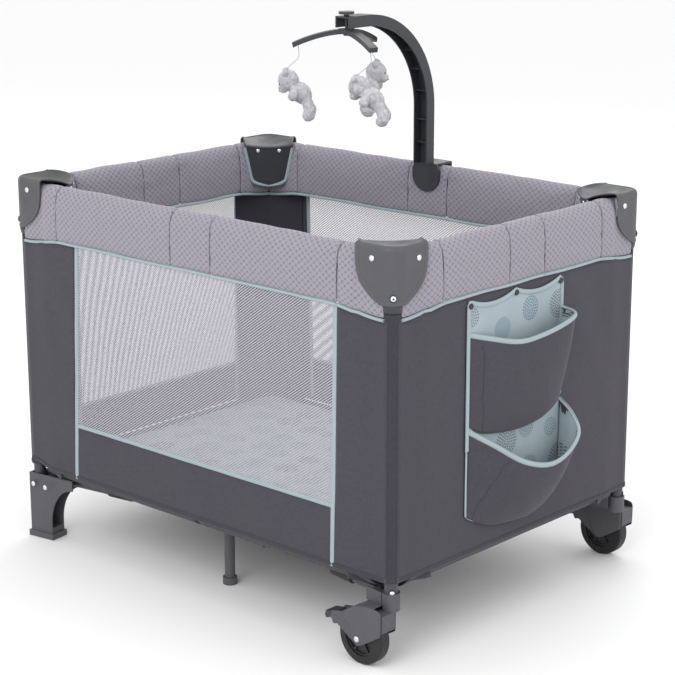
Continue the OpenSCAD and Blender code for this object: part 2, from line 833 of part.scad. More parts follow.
caster_housing(1);  // caster_housing_back
tyre(-1);  // tyre_front
tyre(1);  // tyre_back
wheel_rim(-1);  // wheel_rim_front
wheel_rim(1);  // wheel_rim_back
brake_lever(-1);  // brake_lever_front
brake_lever(1);  // brake_lever_back
rail_long(-1, -1);  // rail_front_left
rail_long(1, -1);  // rail_front_right
rail_long(-1, 1);  // rail_back_left
rail_long(1, 1);  // rail_back_right
rail_short(-1, -1);  // rail_left_front
rail_short(-1, 1);  // rail_left_back
rail_short(1, -1);  // rail_right_front
rail_short(1, 1);  // rail_right_back
color(dark_plastic) on_long_rail(-1) lock_body();  // rail_lock_front
color(dark_plastic) on_long_rail(1) lock_body();  // rail_lock_back
color(dark_plastic) on_short_rail(-1) lock_body();  // rail_lock_left
color(dark_plastic) on_short_rail(1) lock_body();  // rail_lock_right
color("firebrick") on_long_rail(-1) button_body();  // lock_button_front
color("firebrick") on_long_rail(1) button_body();  // lock_button_back
color("firebrick") on_short_rail(-1) button_body();  // lock_button_left
color("firebrick") on_short_rail(1) button_body();  // lock_button_right
side_long(-1);  // side_front
side_long(1);  // side_back
side_short(-1);  // side_left
side_short(1);  // side_right
mattress(-1);  // mattress_left
mattress(1);  // mattress_right
organizer();
mobile_clamp();
mobile_arm();
mobile_spinner();
toy(toy_angles[0]);  // toy_left
toy(toy_angles[1]);  // toy_right
toy(toy_angles[2]);  // toy_back
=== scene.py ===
import math

import bpy
import numpy as np
from mathutils import Matrix, Vector, noise


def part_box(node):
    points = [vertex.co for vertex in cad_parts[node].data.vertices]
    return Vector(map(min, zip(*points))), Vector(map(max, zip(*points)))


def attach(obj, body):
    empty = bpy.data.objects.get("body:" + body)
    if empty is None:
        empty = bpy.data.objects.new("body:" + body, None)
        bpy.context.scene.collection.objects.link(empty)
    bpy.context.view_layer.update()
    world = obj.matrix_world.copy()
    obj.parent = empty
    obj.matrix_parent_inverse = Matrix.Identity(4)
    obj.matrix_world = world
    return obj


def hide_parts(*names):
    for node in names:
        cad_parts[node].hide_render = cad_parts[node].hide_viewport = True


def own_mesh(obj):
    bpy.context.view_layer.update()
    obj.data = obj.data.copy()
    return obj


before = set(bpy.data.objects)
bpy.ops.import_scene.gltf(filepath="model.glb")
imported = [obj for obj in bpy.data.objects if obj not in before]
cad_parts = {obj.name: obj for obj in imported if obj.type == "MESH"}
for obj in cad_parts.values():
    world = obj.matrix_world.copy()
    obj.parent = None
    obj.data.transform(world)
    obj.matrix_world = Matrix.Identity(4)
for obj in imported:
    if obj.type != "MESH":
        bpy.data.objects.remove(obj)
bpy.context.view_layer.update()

# ---------------------------------------------------------------- sizes from the frame


def mid(node):
    lo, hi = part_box(node)
    return (lo + hi) / 2


post = mid("post_front_right")
HX, HY = post.x, -post.y                      # post planes
PAD_LO, PAD_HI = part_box("side_front")[0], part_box("side_front")[1]
PAD_TOP = PAD_HI.z
PAD_LOW = PAD_TOP - 0.105                     # the padded covers are 105 mm high
HEM = PAD_LO.z
CAP_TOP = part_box("cap_front_right")[1].z
CAP_LOW = CAP_TOP - 0.109                     # the caps are 109 mm high
RAIL_Z = CAP_TOP - 0.045                      # top rails' pivots in the caps
BASE_Z = 0.126                                # base tubes' axes
MAT_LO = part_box("mattress_right")[0]

# ---------------------------------------------------------------- material graphs


class Graph:
    """A small helper that writes a node tree for one material."""

    def __init__(self, name):
        self.m = bpy.data.materials.new(name)
        self.m.use_nodes = True
        self.t = self.m.node_tree
        self.t.nodes.clear()
        self.out = self.t.nodes.new("ShaderNodeOutputMaterial")
        self.b = self.t.nodes.new("ShaderNodeBsdfPrincipled")
        self.t.links.new(self.b.outputs[0], self.out.inputs[0])
        self.co = self.t.nodes.new("ShaderNodeTexCoord")

    def put(self, socket, v):
        if isinstance(v, bpy.types.NodeSocket):
            self.t.links.new(v, socket)
        elif v is not None:
            socket.default_value = v

    def math(self, op, a, b=None, clamp=False):
        n = self.t.nodes.new("ShaderNodeMath")
        n.operation, n.use_clamp = op, clamp
        self.put(n.inputs[0], a)
        self.put(n.inputs[1], b)
        return n.outputs[0]

    def vec(self, op, a, b=None, scale=None):
        n = self.t.nodes.new("ShaderNodeVectorMath")
        n.operation = op
        self.put(n.inputs[0], a)
        self.put(n.inputs[1], b)
        if scale is not None:
            self.put(n.inputs["Scale"], scale)
        return n.outputs["Value" if op in ("LENGTH", "DISTANCE", "DOT_PRODUCT") else "Vector"]

    def xyz(self, v):
        n = self.t.nodes.new("ShaderNodeSeparateXYZ")
        self.put(n.inputs[0], v)
        return n.outputs

    def join(self, x, y, z=0.0):
        n = self.t.nodes.new("ShaderNodeCombineXYZ")
        for i, v in enumerate((x, y, z)):
            self.put(n.inputs[i], v)
        return n.outputs[0]

    def noise(self, vec, scale, detail=3.0, rough=0.5):
        n = self.t.nodes.new("ShaderNodeTexNoise")
        self.put(n.inputs["Vector"], vec)
        n.inputs["Scale"].default_value = scale
        n.inputs["Detail"].default_value = detail
        n.inputs["Roughness"].default_value = rough
        return n.outputs["Fac"]

    def cells(self, vec, scale, jitter=0.6):
        n = self.t.nodes.new("ShaderNodeTexVoronoi")
        n.voronoi_dimensions = "2D"
        self.put(n.inputs["Vector"], vec)
        n.inputs["Scale"].default_value = scale
        n.inputs["Randomness"].default_value = jitter
        return n.outputs["Distance"], n.outputs["Color"], n.outputs["Position"]

    def span(self, v, a, b, c=0.0, d=1.0, smooth=True):
        n = self.t.nodes.new("ShaderNodeMapRange")
        n.interpolation_type = "SMOOTHSTEP" if smooth else "LINEAR"
        for i, x in enumerate((v, a, b, c, d)):
            self.put(n.inputs[i], x)
        return n.outputs[0]

    def mix(self, fac, a, b, kind="MIX"):
        n = self.t.nodes.new("ShaderNodeMix")
        n.data_type, n.blend_type = "RGBA", kind
        self.put(n.inputs[0], fac)
        self.put(n.inputs[6], (*a, 1) if isinstance(a, tuple) else a)
        self.put(n.inputs[7], (*b, 1) if isinstance(b, tuple) else b)
        return n.outputs[2]

    def bump(self, height, strength, dist=0.001, normal=None):
        n = self.t.nodes.new("ShaderNodeBump")
        n.inputs["Strength"].default_value = strength
        n.inputs["Distance"].default_value = dist
        self.put(n.inputs["Height"], height)
        self.put(n.inputs["Normal"], normal)
        return n.outputs[0]

    def wave(self, v, pitch):
        """0 to 1 sine of v with that pitch in metres."""
        s = self.math("SINE", self.math("MULTIPLY", v, 2 * math.pi / pitch))
        return self.span(s, -1.0, 1.0, smooth=False)

    def finish(self, color, rough, normal=None, metallic=0.0, sheen=0.0, spec=0.5, coat=0.0):
        self.put(self.b.inputs["Base Color"], (*color, 1) if isinstance(color, tuple) else color)
        self.put(self.b.inputs["Roughness"], rough)
        self.put(self.b.inputs["Normal"], normal)
        self.b.inputs["Metallic"].default_value = metallic
        self.b.inputs["Sheen Weight"].default_value = sheen
        self.b.inputs["Sheen Roughness"].default_value = 0.5
        self.b.inputs["Specular IOR Level"].default_value = spec
        self.b.inputs["Coat Weight"].default_value = coat
        return self.m


def lin(r, g, b):
    """sRGB 0-255 to linear."""
    return tuple(((c / 255) / 12.92) if c <= 10 else (((c / 255) + 0.055) / 1.055) ** 2.4
                 for c in (r, g, b))


def plastic(name, color, rough=0.5, grain=900.0, spec=0.45):
    g = Graph(name)
    p = g.co.outputs["Object"]
    fine = g.noise(p, grain, 2.0)
    cloud = g.noise(p, 14.0, 3.0)
    c = g.mix(g.span(cloud, 0.3, 0.7, 0.0, 0.35), color, tuple(min(1, x * 1.25) for x in color))
    dust = g.math("MULTIPLY", g.span(g.noise(p, 60.0, 4.0, 0.7), 0.55, 0.8), 0.10)
    c = g.mix(dust, c, tuple(min(1, x * 2.2 + 0.01) for x in color))
    r = g.span(g.noise(p, 35.0, 3.0), 0.3, 0.7, rough - 0.07, rough + 0.08)
    return g.finish(c, r, g.bump(fine, 0.12, 0.0006), spec=spec)


def steel_paint(name, color):
    g = Graph(name)
    p = g.co.outputs["Object"]
    peel = g.noise(p, 420.0, 2.0)
    scuff = g.span(g.noise(p, 80.0, 5.0, 0.75), 0.62, 0.75)
    c = g.mix(g.math("MULTIPLY", scuff, 0.25), color, tuple(x * 2.0 + 0.02 for x in color))
    r = g.span(g.noise(p, 25.0), 0.3, 0.7, 0.34, 0.46)
    return g.finish(c, r, g.bump(peel, 0.10, 0.0005), spec=0.5, coat=0.15)


def bright_steel(name):
    g = Graph(name)
    p = g.co.outputs["Object"]
    lines = g.noise(g.vec("MULTIPLY", p, (900.0, 900.0, 4000.0)), 1.0, 2.0)
    r = g.span(lines, 0.3, 0.7, 0.18, 0.34)
    c = g.mix(g.noise(p, 300.0), (0.62, 0.64, 0.67), (0.86, 0.87, 0.88))
    return g.finish(c, r, g.bump(lines, 0.05, 0.0002), metallic=1.0)


def rubber(name, color=(0.012, 0.012, 0.013), ribs=0.0):
    g = Graph(name)
    p = g.co.outputs["Object"]
    h = g.noise(p, 700.0, 3.0)
    if ribs:
        h = g.math("ADD", g.math("MULTIPLY", h, 0.25), g.wave(g.xyz(p)[1], ribs))
    dust = g.span(g.noise(p, 50.0, 4.0, 0.7), 0.5, 0.75, 0.0, 0.25)
    c = g.mix(dust, color, (0.05, 0.048, 0.045))
    r = g.span(g.noise(p, 30.0), 0.3, 0.7, 0.42, 0.6)
    return g.finish(c, r, g.bump(h, 0.25, 0.0006), spec=0.4)


def weave(g, u, v, pitch):
    """Plain weave height over u and v, with that yarn pitch."""
    a, b = g.wave(u, pitch * 2), g.wave(v, pitch * 2)
    over = g.math("ABSOLUTE", g.math("SUBTRACT", a, b))
    return over


def charcoal(name="fabric_charcoal", color=None):
    g = Graph(name)
    color = color or lin(63, 61, 69)
    p = g.co.outputs["Object"]
    x, y, z = g.xyz(p)[0], g.xyz(p)[1], g.xyz(p)[2]
    h = weave(g, g.math("ADD", x, y), z, 0.00075)
    yarn = g.noise(g.vec("MULTIPLY", p, (120.0, 120.0, 900.0)), 1.0, 3.0)
    yarn2 = g.noise(g.vec("MULTIPLY", p, (900.0, 900.0, 120.0)), 1.0, 3.0)
    slub = g.math("MULTIPLY", g.math("ADD", yarn, yarn2), 0.5)
    c = g.mix(g.span(slub, 0.36, 0.64), tuple(k * 0.84 for k in color), tuple(k * 1.14 for k in color))
    c = g.mix(g.math("MULTIPLY", h, 0.22), c, tuple(k * 0.62 for k in color))
    soft = g.noise(p, 9.0, 3.0)
    n = g.bump(h, 0.35, 0.0004, g.bump(slub, 0.15, 0.0006))
    c = g.mix(g.span(soft, 0.3, 0.7, 0.0, 0.10), c, tuple(k * 1.3 for k in color))
    return g.finish(c, g.span(soft, 0.3, 0.7, 0.74, 0.86), n, sheen=0.12, spec=0.25)


def pad_cloth():
    """Lavender grey knit with a lattice of small darker marks."""
    g = Graph("fabric_lattice")
    u, v = g.xyz(g.co.outputs["UV"])[0], g.xyz(g.co.outputs["UV"])[1]
    pu, pv = 0.0140, 0.0118
    wob = g.noise(g.co.outputs["Object"], 26.0, 2.0)
    shift = g.span(wob, 0.2, 0.8, -0.0012, 0.0012, smooth=False)
    a = g.math("ADD", g.math("DIVIDE", u, pu), g.math("DIVIDE", g.math("ADD", v, shift), pv))
    b = g.math("SUBTRACT", g.math("DIVIDE", u, pu), g.math("DIVIDE", g.math("ADD", v, shift), pv))

    def near(t):
        f = g.math("FRACT", t)
        return g.math("MULTIPLY", g.math("ABSOLUTE", g.math("SUBTRACT", f, 0.5)), 2.0)

    la, lb = near(a), near(b)
    line = g.math("MAXIMUM", g.span(la, 0.58, 0.97), g.span(lb, 0.58, 0.97))
    knot = g.math("MULTIPLY", g.span(la, 0.52, 0.92), g.span(lb, 0.52, 0.92))
    speck = g.wave(g.math("MULTIPLY", g.math("ADD", a, b), pu * 0.5), 0.0024)
    dash = g.math("MULTIPLY", line, g.span(speck, 0.1, 0.8, 0.45, 1.0))
    base, dark = lin(143, 139, 150), lin(80, 76, 88)
    patchy = g.span(g.noise(g.co.outputs["Object"], 90.0, 2.0), 0.35, 0.65, 0.22, 0.46)
    c = g.mix(g.math("MULTIPLY", dash, patchy), base, dark)
    c = g.mix(g.math("MULTIPLY", knot, 0.72), c, lin(66, 62, 74))
    knit = weave(g, u, v, 0.0011)
    c = g.mix(g.math("MULTIPLY", knit, 0.16), c, tuple(k * 0.6 for k in base))
    fuzz = g.noise(g.co.outputs["Object"], 420.0, 3.0)
    c = g.mix(g.span(fuzz, 0.35, 0.65, 0.0, 0.16), c, tuple(min(1, k * 1.35) for k in base))
    h = g.math("SUBTRACT", 1.0, g.math("MAXIMUM", g.math("MULTIPLY", dash, 0.55), knot))
    n = g.bump(h, 0.42, 0.0011, g.bump(knit, 0.28, 0.0004))
    return g.finish(c, 0.88, n, sheen=0.22, spec=0.2)


def tape(name="tape_pale", color=None):
    g = Graph(name)
    color = color or lin(154, 167, 174)
    u, v = g.xyz(g.co.outputs["UV"])[0], g.xyz(g.co.outputs["UV"])[1]
    rib = g.wave(u, 0.0012)
    st = g.math("MULTIPLY", g.span(g.wave(u, 0.0036), 0.45, 0.7), g.span(g.math("ABSOLUTE", g.math(
        "SUBTRACT", g.math("FRACT", g.math("MULTIPLY", v, 2.0)), 0.5)), 0.0, 0.09, 1.0, 0.0))
    c = g.mix(g.math("MULTIPLY", rib, 0.16), color, tuple(k * 0.62 for k in color))
    c = g.mix(g.math("MULTIPLY", st, 0.35), c, tuple(min(1, k * 1.3) for k in color))
    c = g.mix(g.span(g.noise(g.co.outputs["Object"], 30.0), 0.3, 0.7, 0.0, 0.16), c,
              tuple(k * 0.8 for k in color))
    return g.finish(c, 0.8, g.bump(g.math("ADD", rib, st), 0.35, 0.0004), sheen=0.12, spec=0.25)


def rosettes(g, p, scale, base, tints, strength, seed=0.0):
    """Scattered round prints of dotted rings and soft discs; p is a flat coordinate in metres."""
    q = g.vec("ADD", p, (seed, seed * 0.7, 0.0))
    dist, rnd, pos = g.cells(q, scale, 0.55)
    r = g.math("DIVIDE", dist, scale)                      # metres from the print's middle
    d = g.vec("SUBTRACT", q, pos)
    ang = g.math("ARCTAN2", g.xyz(d)[1], g.xyz(d)[0])
    rr, rg, rb = g.xyz(rnd)[0], g.xyz(rnd)[1], g.xyz(rnd)[2]
    size = g.span(rr, 0.0, 1.0, 0.0165, 0.036, smooth=False)
    inside = g.span(g.math("SUBTRACT", r, size), -0.0012, 0.0012, 1.0, 0.0)
    ring = g.math("DIVIDE", r, 0.0052)
    k = g.math("ROUND", ring)
    radial = g.math("ABSOLUTE", g.math("SUBTRACT", ring, k))
    turns = g.math("MULTIPLY", g.math("ADD", g.math("MULTIPLY", k, 5.0), 3.0), ang)
    around = g.math("ABSOLUTE", g.math("SINE", g.math("MULTIPLY", turns, 0.5)))
    dots = g.math("MULTIPLY", g.span(radial, 0.26, 0.42, 1.0, 0.0), g.span(around, 0.45, 0.75))
    disc = g.span(rg, 0.30, 0.32, 1.0, 0.0)                # some prints are soft discs
    pale = g.math("MULTIPLY", g.math("MULTIPLY", inside, disc), 0.42)
    dotted = g.math("MULTIPLY", g.math("MULTIPLY", inside, dots), g.math("SUBTRACT", 1.0, disc))
    tint = g.mix(g.span(rb, 0.36, 0.38), tints[0], tints[1])
    tint = g.mix(g.span(rb, 0.70, 0.72), tint, tints[2])
    c = g.mix(g.math("MULTIPLY", pale, strength), base, tints[0])
    return g.mix(g.math("MULTIPLY", dotted, strength), c, tint)


def mattress_cloth():
    g = Graph("fabric_rosette")
    p = g.co.outputs["Object"]
    x, y = g.xyz(p)[0], g.xyz(p)[1]
    flat = g.join(x, y)
    base = lin(194, 202, 212)
    c = rosettes(g, flat, 13.5, base, (lin(120, 150, 166), lin(84, 78, 92), lin(122, 106, 122)), 1.0)
    h = weave(g, x, y, 0.0008)
    c = g.mix(g.math("MULTIPLY", h, 0.08), c, tuple(k * 0.7 for k in base))
    c = g.mix(g.span(g.noise(p, 6.0, 3.0), 0.3, 0.7, 0.0, 0.10), c, tuple(k * 0.84 for k in base))
    n = g.bump(h, 0.25, 0.0004, g.bump(g.noise(p, 40.0, 3.0), 0.10, 0.002))
    return g.finish(c, 0.82, n, sheen=0.1, spec=0.25)


def lining_cloth():
    g = Graph("fabric_lining")
    p = g.co.outputs["Object"]
    y, z = g.xyz(p)[1], g.xyz(p)[2]
    base = lin(156, 169, 176)
    c = rosettes(g, g.join(y, z), 13.0, base, (lin(66, 100, 120), lin(60, 56, 64), lin(98, 94, 106)),
                 0.85, 0.31)
    h = weave(g, y, z, 0.0009)
    c = g.mix(g.math("MULTIPLY", h, 0.12), c, tuple(k * 0.6 for k in base))
    c = g.mix(g.span(g.noise(p, 16.0, 3.0), 0.35, 0.7, 0.0, 0.2), c, tuple(k * 0.7 for k in base))
    n = g.bump(h, 0.3, 0.0004, g.bump(g.noise(p, 24.0, 3.0), 0.25, 0.004))
    return g.finish(c, 0.84, n, sheen=0.1, spec=0.2)


def netting():
    """Pale open netting: threads cross at a slant and leave small holes between them."""
    g = Graph("netting_pale")
    u, v = g.xyz(g.co.outputs["UV"])[0], g.xyz(g.co.outputs["UV"])[1]
    a = g.wave(g.math("SUBTRACT", v, g.math("MULTIPLY", u, 0.72)), 0.0052)
    b = g.wave(g.math("ADD", v, g.math("MULTIPLY", u, 1.35)), 0.0046)
    thread = g.math("MAXIMUM", g.span(a, 0.34, 0.60), g.math("MULTIPLY", g.span(b, 0.62, 0.86), 0.50))
    twist = g.noise(g.co.outputs["Object"], 900.0, 2.0)
    c = g.mix(g.span(twist, 0.3, 0.7), lin(158, 156, 165), lin(172, 170, 178))
    g.finish(c, 0.8, g.bump(thread, 0.4, 0.0004), sheen=0.1, spec=0.2)
    clear = g.t.nodes.new("ShaderNodeBsdfTransparent")
    mixer = g.t.nodes.new("ShaderNodeMixShader")
    g.put(mixer.inputs[0], g.math("MAXIMUM", thread, 0.22))
    g.t.links.new(clear.outputs[0], mixer.inputs[1])
    g.t.links.new(g.b.outputs[0], mixer.inputs[2])
    g.t.links.new(mixer.outputs[0], g.out.inputs[0])
    return g.m


def plush_cloth():
    g = Graph("plush_white")
    p = g.co.outputs["Object"]
    tuft = g.noise(p, 330.0, 4.0, 0.7)
    curl = g.noise(p, 130.0, 3.0, 0.6)
    # painted shade and painted highlight: the plush colour follows its bump, lighter on the raised curls and
    # darker in the hollows between the tufts
    c = g.mix(g.span(curl, 0.3, 0.7), lin(160, 159, 165), lin(196, 195, 200))
    c = g.mix(g.span(tuft, 0.3, 0.5, 0.35, 0.0), c, lin(140, 139, 146))
    n = g.bump(tuft, 0.8, 0.0022, g.bump(curl, 0.6, 0.003))
    return g.finish(c, 0.95, n, sheen=0.5, spec=0.1)


def floor_mat():
    g = Graph("studio_floor")
    n = g.noise(g.co.outputs["Object"], 2.0)
    c = g.mix(g.span(n, 0.3, 0.7, 0.0, 0.02), (0.86, 0.86, 0.86), (0.84, 0.84, 0.84))
    return g.finish(c, 0.7, spec=0.1)


M = {
    "steel": steel_paint("frame_steel", lin(56, 55, 60)),
    "grey": plastic("plastic_grey", lin(74, 74, 78), 0.5),
    "dark": plastic("plastic_dark", lin(50, 51, 55), 0.42),
    "black": plastic("plastic_black", lin(30, 30, 32), 0.4),
    "rivet": bright_steel("rivet_steel"),
    "tyre": rubber("tyre_rubber", ribs=0.0032),
    "rubber": rubber("pad_rubber"),
    "cloth": charcoal(),
    # painted shade: a darker copy of the same charcoal cloth, used for the post sleeves, the inner corner
    # liners and the floor cloth
    "cloth_painted_shade": charcoal("fabric_charcoal_painted_shade", lin(54, 52, 59)),
    "pad": pad_cloth(),
    "tape": tape(),
    "tape_dark": tape("tape_dark", lin(56, 54, 62)),
    "mattress": mattress_cloth(),
    "lining": lining_cloth(),
    "net": netting(),
    "plush": plush_cloth(),
    "red": plastic("button_red", (0.35, 0.02, 0.02), 0.35),
}

# ---------------------------------------------------------------- mesh helpers


def new_mesh(name, verts, faces, mat, uv=None, smooth=True):
    me = bpy.data.meshes.new(name)
    me.from_pydata([tuple(v) for v in verts], [], faces)
    me.validate()
    if uv is not None:
        layer = me.uv_layers.new(name="cloth")
        for poly, face_uv in zip(me.polygons, uv):
            for li, w in zip(poly.loop_indices, face_uv):
                layer.data[li].uv = w
    for poly in me.polygons:
        poly.use_smooth = smooth
    o = bpy.data.objects.new(name, me)
    bpy.context.scene.collection.objects.link(o)
    me.materials.append(mat)
    return o


def arc_lengths(p):
    return np.concatenate([[0], np.cumsum(np.linalg.norm(np.diff(p, axis=0), axis=1))])


def grid(name, P, mat, close_v=False, caps=False, keep=None, flip=False):
    """Surface over a grid of points P[i][j]; UVs are in metres along i and j."""
    P = np.asarray(P, float)
    n, m = P.shape[:2]
    us = arc_lengths(P.mean(axis=1)) if n > 1 else np.zeros(n)
    loop = np.concatenate([P, P[:, :1]], axis=1) if close_v else P
    vs = np.mean([arc_lengths(row) for row in loop], axis=0)
    faces, uv = [], []
    for i in range(n - 1):
        for j in range(m if close_v else m - 1):
            if keep is not None and not keep(i, j):
                continue
            k = (j + 1) % m
            f = [i * m + j, (i + 1) * m + j, (i + 1) * m + k, i * m + k]
            w = [(us[i], vs[j]), (us[i + 1], vs[j]), (us[i + 1], vs[j + 1]), (us[i], vs[j + 1])]
            faces.append(f[::-1] if flip else f)
            uv.append(w[::-1] if flip else w)
    if caps:
        for i, back in ((0, not flip), (n - 1, flip)):
            ring = [i * m + j for j in range(m)]
            w = [(us[i], vs[j]) for j in range(m)]
            faces.append(ring if not back else ring[::-1])
            uv.append(w if not back else w[::-1])
    return new_mesh(name, P.reshape(-1, 3), faces, mat, uv)


def smooth_path(pts, step):
    """Points along a Catmull-Rom curve through pts, about step apart."""
    p = np.asarray(pts, float)
    e = np.vstack([2 * p[0] - p[1], p, 2 * p[-1] - p[-2]])
    out = []
    for i in range(1, len(e) - 2):
        n = max(2, int(np.linalg.norm(e[i + 1] - e[i]) / step) + 1)
        for t in np.linspace(0, 1, n, endpoint=False):
            a, b, c, d = e[i - 1], e[i], e[i + 1], e[i + 2]
            out.append(0.5 * ((2 * b) + (c - a) * t + (2 * a - 5 * b + 4 * c - d) * t * t
                              + (-a + 3 * b - 3 * c + d) * t ** 3))
    out.append(p[-1])
    return np.array(out)


def sweep(name, path, section, mat, normal=None, step=None, taper=None):
    """Closed section of (side, up) points swept along path; normal is the up direction."""
    p = smooth_path(path, step) if step else np.asarray(path, float)
    t = np.gradient(p, axis=0)
    t /= np.linalg.norm(t, axis=1)[:, None]
    sec = np.asarray(section, float)
    if normal is None:
        ref = np.array([0, 0, 1.0]) if abs(t[0][2]) < 0.9 else np.array([1.0, 0, 0])
        up = ref - t[0] * (ref @ t[0])
        up /= np.linalg.norm(up)
        ups = []
        for k in t:
            up = up - k * (up @ k)
            up /= np.linalg.norm(up)
            ups.append(up)
        ups = np.array(ups)
    else:
        normal = np.broadcast_to(np.asarray(normal, float), p.shape)
        ups = normal - t * (normal * t).sum(1)[:, None]
        ups /= np.linalg.norm(ups, axis=1)[:, None]
    side = np.cross(t, ups)
    k = np.ones(len(p)) if taper is None else taper(np.linspace(0, 1, len(p)))
    across = side[:, None] * sec[None, :, :1]
    upward = ups[:, None] * sec[None, :, 1:]
    rows = p[:, None] + k[:, None, None] * (across + upward)
    return grid(name, rows, mat, close_v=True, caps=True)


def oval(w, h, n=10):
    a = np.arange(n) * 2 * math.pi / n
    return np.stack([np.cos(a) * w / 2, np.sin(a) * h / 2], axis=1)


def ribbon_section(w, h):
    """Flat tape with rounded edges."""
    x, y = w / 2, h / 2
    return np.array([(-x, 0), (-x + y, -y), (0, -y * 1.15), (x - y, -y), (x, 0), (x - y, y),
                     (0, y * 1.15), (-x + y, y)])


def lathe(name, profile, at, axis, mat, n=24):
    """Turned piece: profile of (radius, height) from at along axis."""
    z = Vector(axis).normalized()
    x = z.orthogonal().normalized()
    y = z.cross(x)
    rows = []
    for k in range(n):
        a = 2 * math.pi * k / n
        d = x * math.cos(a) + y * math.sin(a)
        rows.append([tuple(Vector(at) + d * max(r, 1e-5) + z * h) for r, h in profile])
    P = np.array(rows)
    P = np.concatenate([P, P[:1]], axis=0)
    o = grid(name, P, mat, flip=True)
    merge(o, 1e-5)
    return o


def merge(o, dist):
    import bmesh
    bm = bmesh.new()
    bm.from_mesh(o.data)
    bmesh.ops.remove_doubles(bm, verts=bm.verts, dist=dist)
    bmesh.ops.recalc_face_normals(bm, faces=bm.faces)
    bm.to_mesh(o.data)
    bm.free()


def join(name, objs):
    """One object from several, in world coordinates, keeping their materials."""
    first = objs[0]
    if len(objs) > 1:
        with bpy.context.temp_override(active_object=first, object=first,
                                       selected_objects=objs, selected_editable_objects=objs):
            bpy.ops.object.join()
    first.name = name
    first.data.name = name
    return first


def coords(o):
    co = np.zeros(len(o.data.vertices) * 3)
    o.data.vertices.foreach_get("co", co)
    return co.reshape(-1, 3)


def set_coords(o, co):
    o.data.vertices.foreach_set("co", np.asarray(co, np.float32).ravel())
    o.data.update()


def normals(o):
    n = np.zeros(len(o.data.vertices) * 3)
    o.data.vertices.foreach_get("normal", n)
    return n.reshape(-1, 3)


def wrinkle(o, fn):
    """Moves each vertex along its normal by fn(point)."""
    co, n = coords(o), normals(o)
    set_coords(o, co + n * np.array([fn(Vector(p)) for p in co])[:, None])


def soft_noise(p, scale, seed=0.0):
    return noise.noise(Vector((p[0] * scale[0] + seed, p[1] * scale[1] - seed, p[2] * scale[2] + 2 * seed)))


def modify(o, kind, **settings):
    m = o.modifiers.new(kind.lower(), kind)
    for k, v in settings.items():
        setattr(m, k, v)
    return m


def apply_all(o):
    dg = bpy.context.evaluated_depsgraph_get()
    me = bpy.data.meshes.new_from_object(o.evaluated_get(dg), depsgraph=dg)
    o.modifiers.clear()
    o.data = me
    return o


def inflate(o, pin, pressure, cap, frames=20, stiff=18.0):
    """Cloth pressure with gravity off; pinned vertices stay, and none moves more than cap."""
    rest = coords(o)
    group = o.vertex_groups.new(name="pin")
    for i, w in enumerate(pin):
        if w > 0:
            group.add([i], float(w), "REPLACE")
    m = o.modifiers.new("cloth", "CLOTH")
    s = m.settings
    s.quality = 4
    s.mass = 0.2
    s.tension_stiffness = s.compression_stiffness = stiff
    s.shear_stiffness = stiff * 0.5
    s.bending_stiffness = 0.4
    s.vertex_group_mass = "pin"
    s.use_pressure = True
    s.uniform_pressure_force = pressure
    s.effector_weights.gravity = 0
    m.collision_settings.use_collision = False
    m.point_cache.frame_start, m.point_cache.frame_end = 1, frames
    scene = bpy.context.scene
    for f in range(1, frames + 1):
        scene.frame_set(f)
    e = o.evaluated_get(bpy.context.evaluated_depsgraph_get())
    me = e.to_mesh()
    co = np.zeros(len(me.vertices) * 3)
    me.vertices.foreach_get("co", co)
    e.to_mesh_clear()
    move = co.reshape(-1, 3) - rest
    size = np.linalg.norm(move, axis=1)
    move *= (np.minimum(size, cap) / np.maximum(size, 1e-9))[:, None]
    o.modifiers.remove(m)
    o.vertex_groups.clear()
    scene.frame_set(1)
    set_coords(o, rest + move)
    return o


def lerp(a, b, t):
    return a + (b - a) * t


def step01(t):
    t = np.clip(t, 0, 1)
    return t * t * (3 - 2 * t)


# ---------------------------------------------------------------- CAD nodes' materials

NODE_MATS = [
    ("cross_tube", "steel"), ("base_tube", "steel"), ("post_", "steel"), ("rail_lock", "dark"),
    ("rail_", "steel"), ("cap_inner", "dark"), ("cap_", "grey"), ("hub", "dark"), ("leg_bracket", "grey"),
    ("foot_", "grey"), ("caster_", "grey"), ("tyre_", "tyre"), ("wheel_rim", "black"),
    ("brake_", "dark"), ("lock_button", "red"), ("mobile_", "dark"),
]
for name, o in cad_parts.items():
    key = next((k for p, k in NODE_MATS if name.startswith(p)), None)
    if key is None:
        continue
    for i, s in enumerate(o.material_slots):
        base = s.material.name.lower() if s.material else ""
        s.material = M[key]
    if not o.material_slots:
        o.data.materials.append(M[key])

# ---------------------------------------------------------------- padded rail covers

# cover's section as (out, up) from the rail: outer skin from the lower outer edge, then inner skin
OUTER = np.array([(18.8, -67.5), (21.0, -63), (22.0, -52), (22.3, -34), (22.1, -12), (21.2, 8),
                  (19.0, 22), (14.5, 31.5), (7.5, 36.2), (0, 37.6), (-7.5, 36.2), (-14.5, 31.5),
                  (-19.0, 22), (-21.2, 8), (-22.1, -12), (-22.3, -34), (-22.0, -52), (-21.0, -63),
                  (-18.8, -67.5)]) / 1000
INNER = np.array([(17.0, -64.5), (17.0, -50), (17.0, -30), (17.0, -10), (16.8, 6), (15.2, 14.5),
                  (9, 17.6), (0, 18.2), (-9, 17.6), (-15.2, 14.5), (-16.8, 6), (-17.0, -10),
                  (-17.0, -30), (-17.0, -50), (-17.0, -64.5)]) / 1000


def resample(p, n):
    s = arc_lengths(p)
    q = np.linspace(0, s[-1], n)
    return np.stack([np.interp(q, s, p[:, k]) for k in range(p.shape[1])], axis=1)


NV = 36
OUT_SEC = resample(smooth_path(OUTER, 0.004), NV)
IN_SEC = resample(smooth_path(INNER, 0.004), NV)


class Side:
    """One side of the yard: u runs along the rail, out points away from the yard."""

    def __init__(self, name, along, out, half, plane):
        self.name, self.along, self.out = name, Vector(along), Vector(out)
        self.half, self.plane = half, plane

    def at(self, u, v, z):
        return self.along * u + self.out * (self.plane + v) + Vector((0, 0, z))


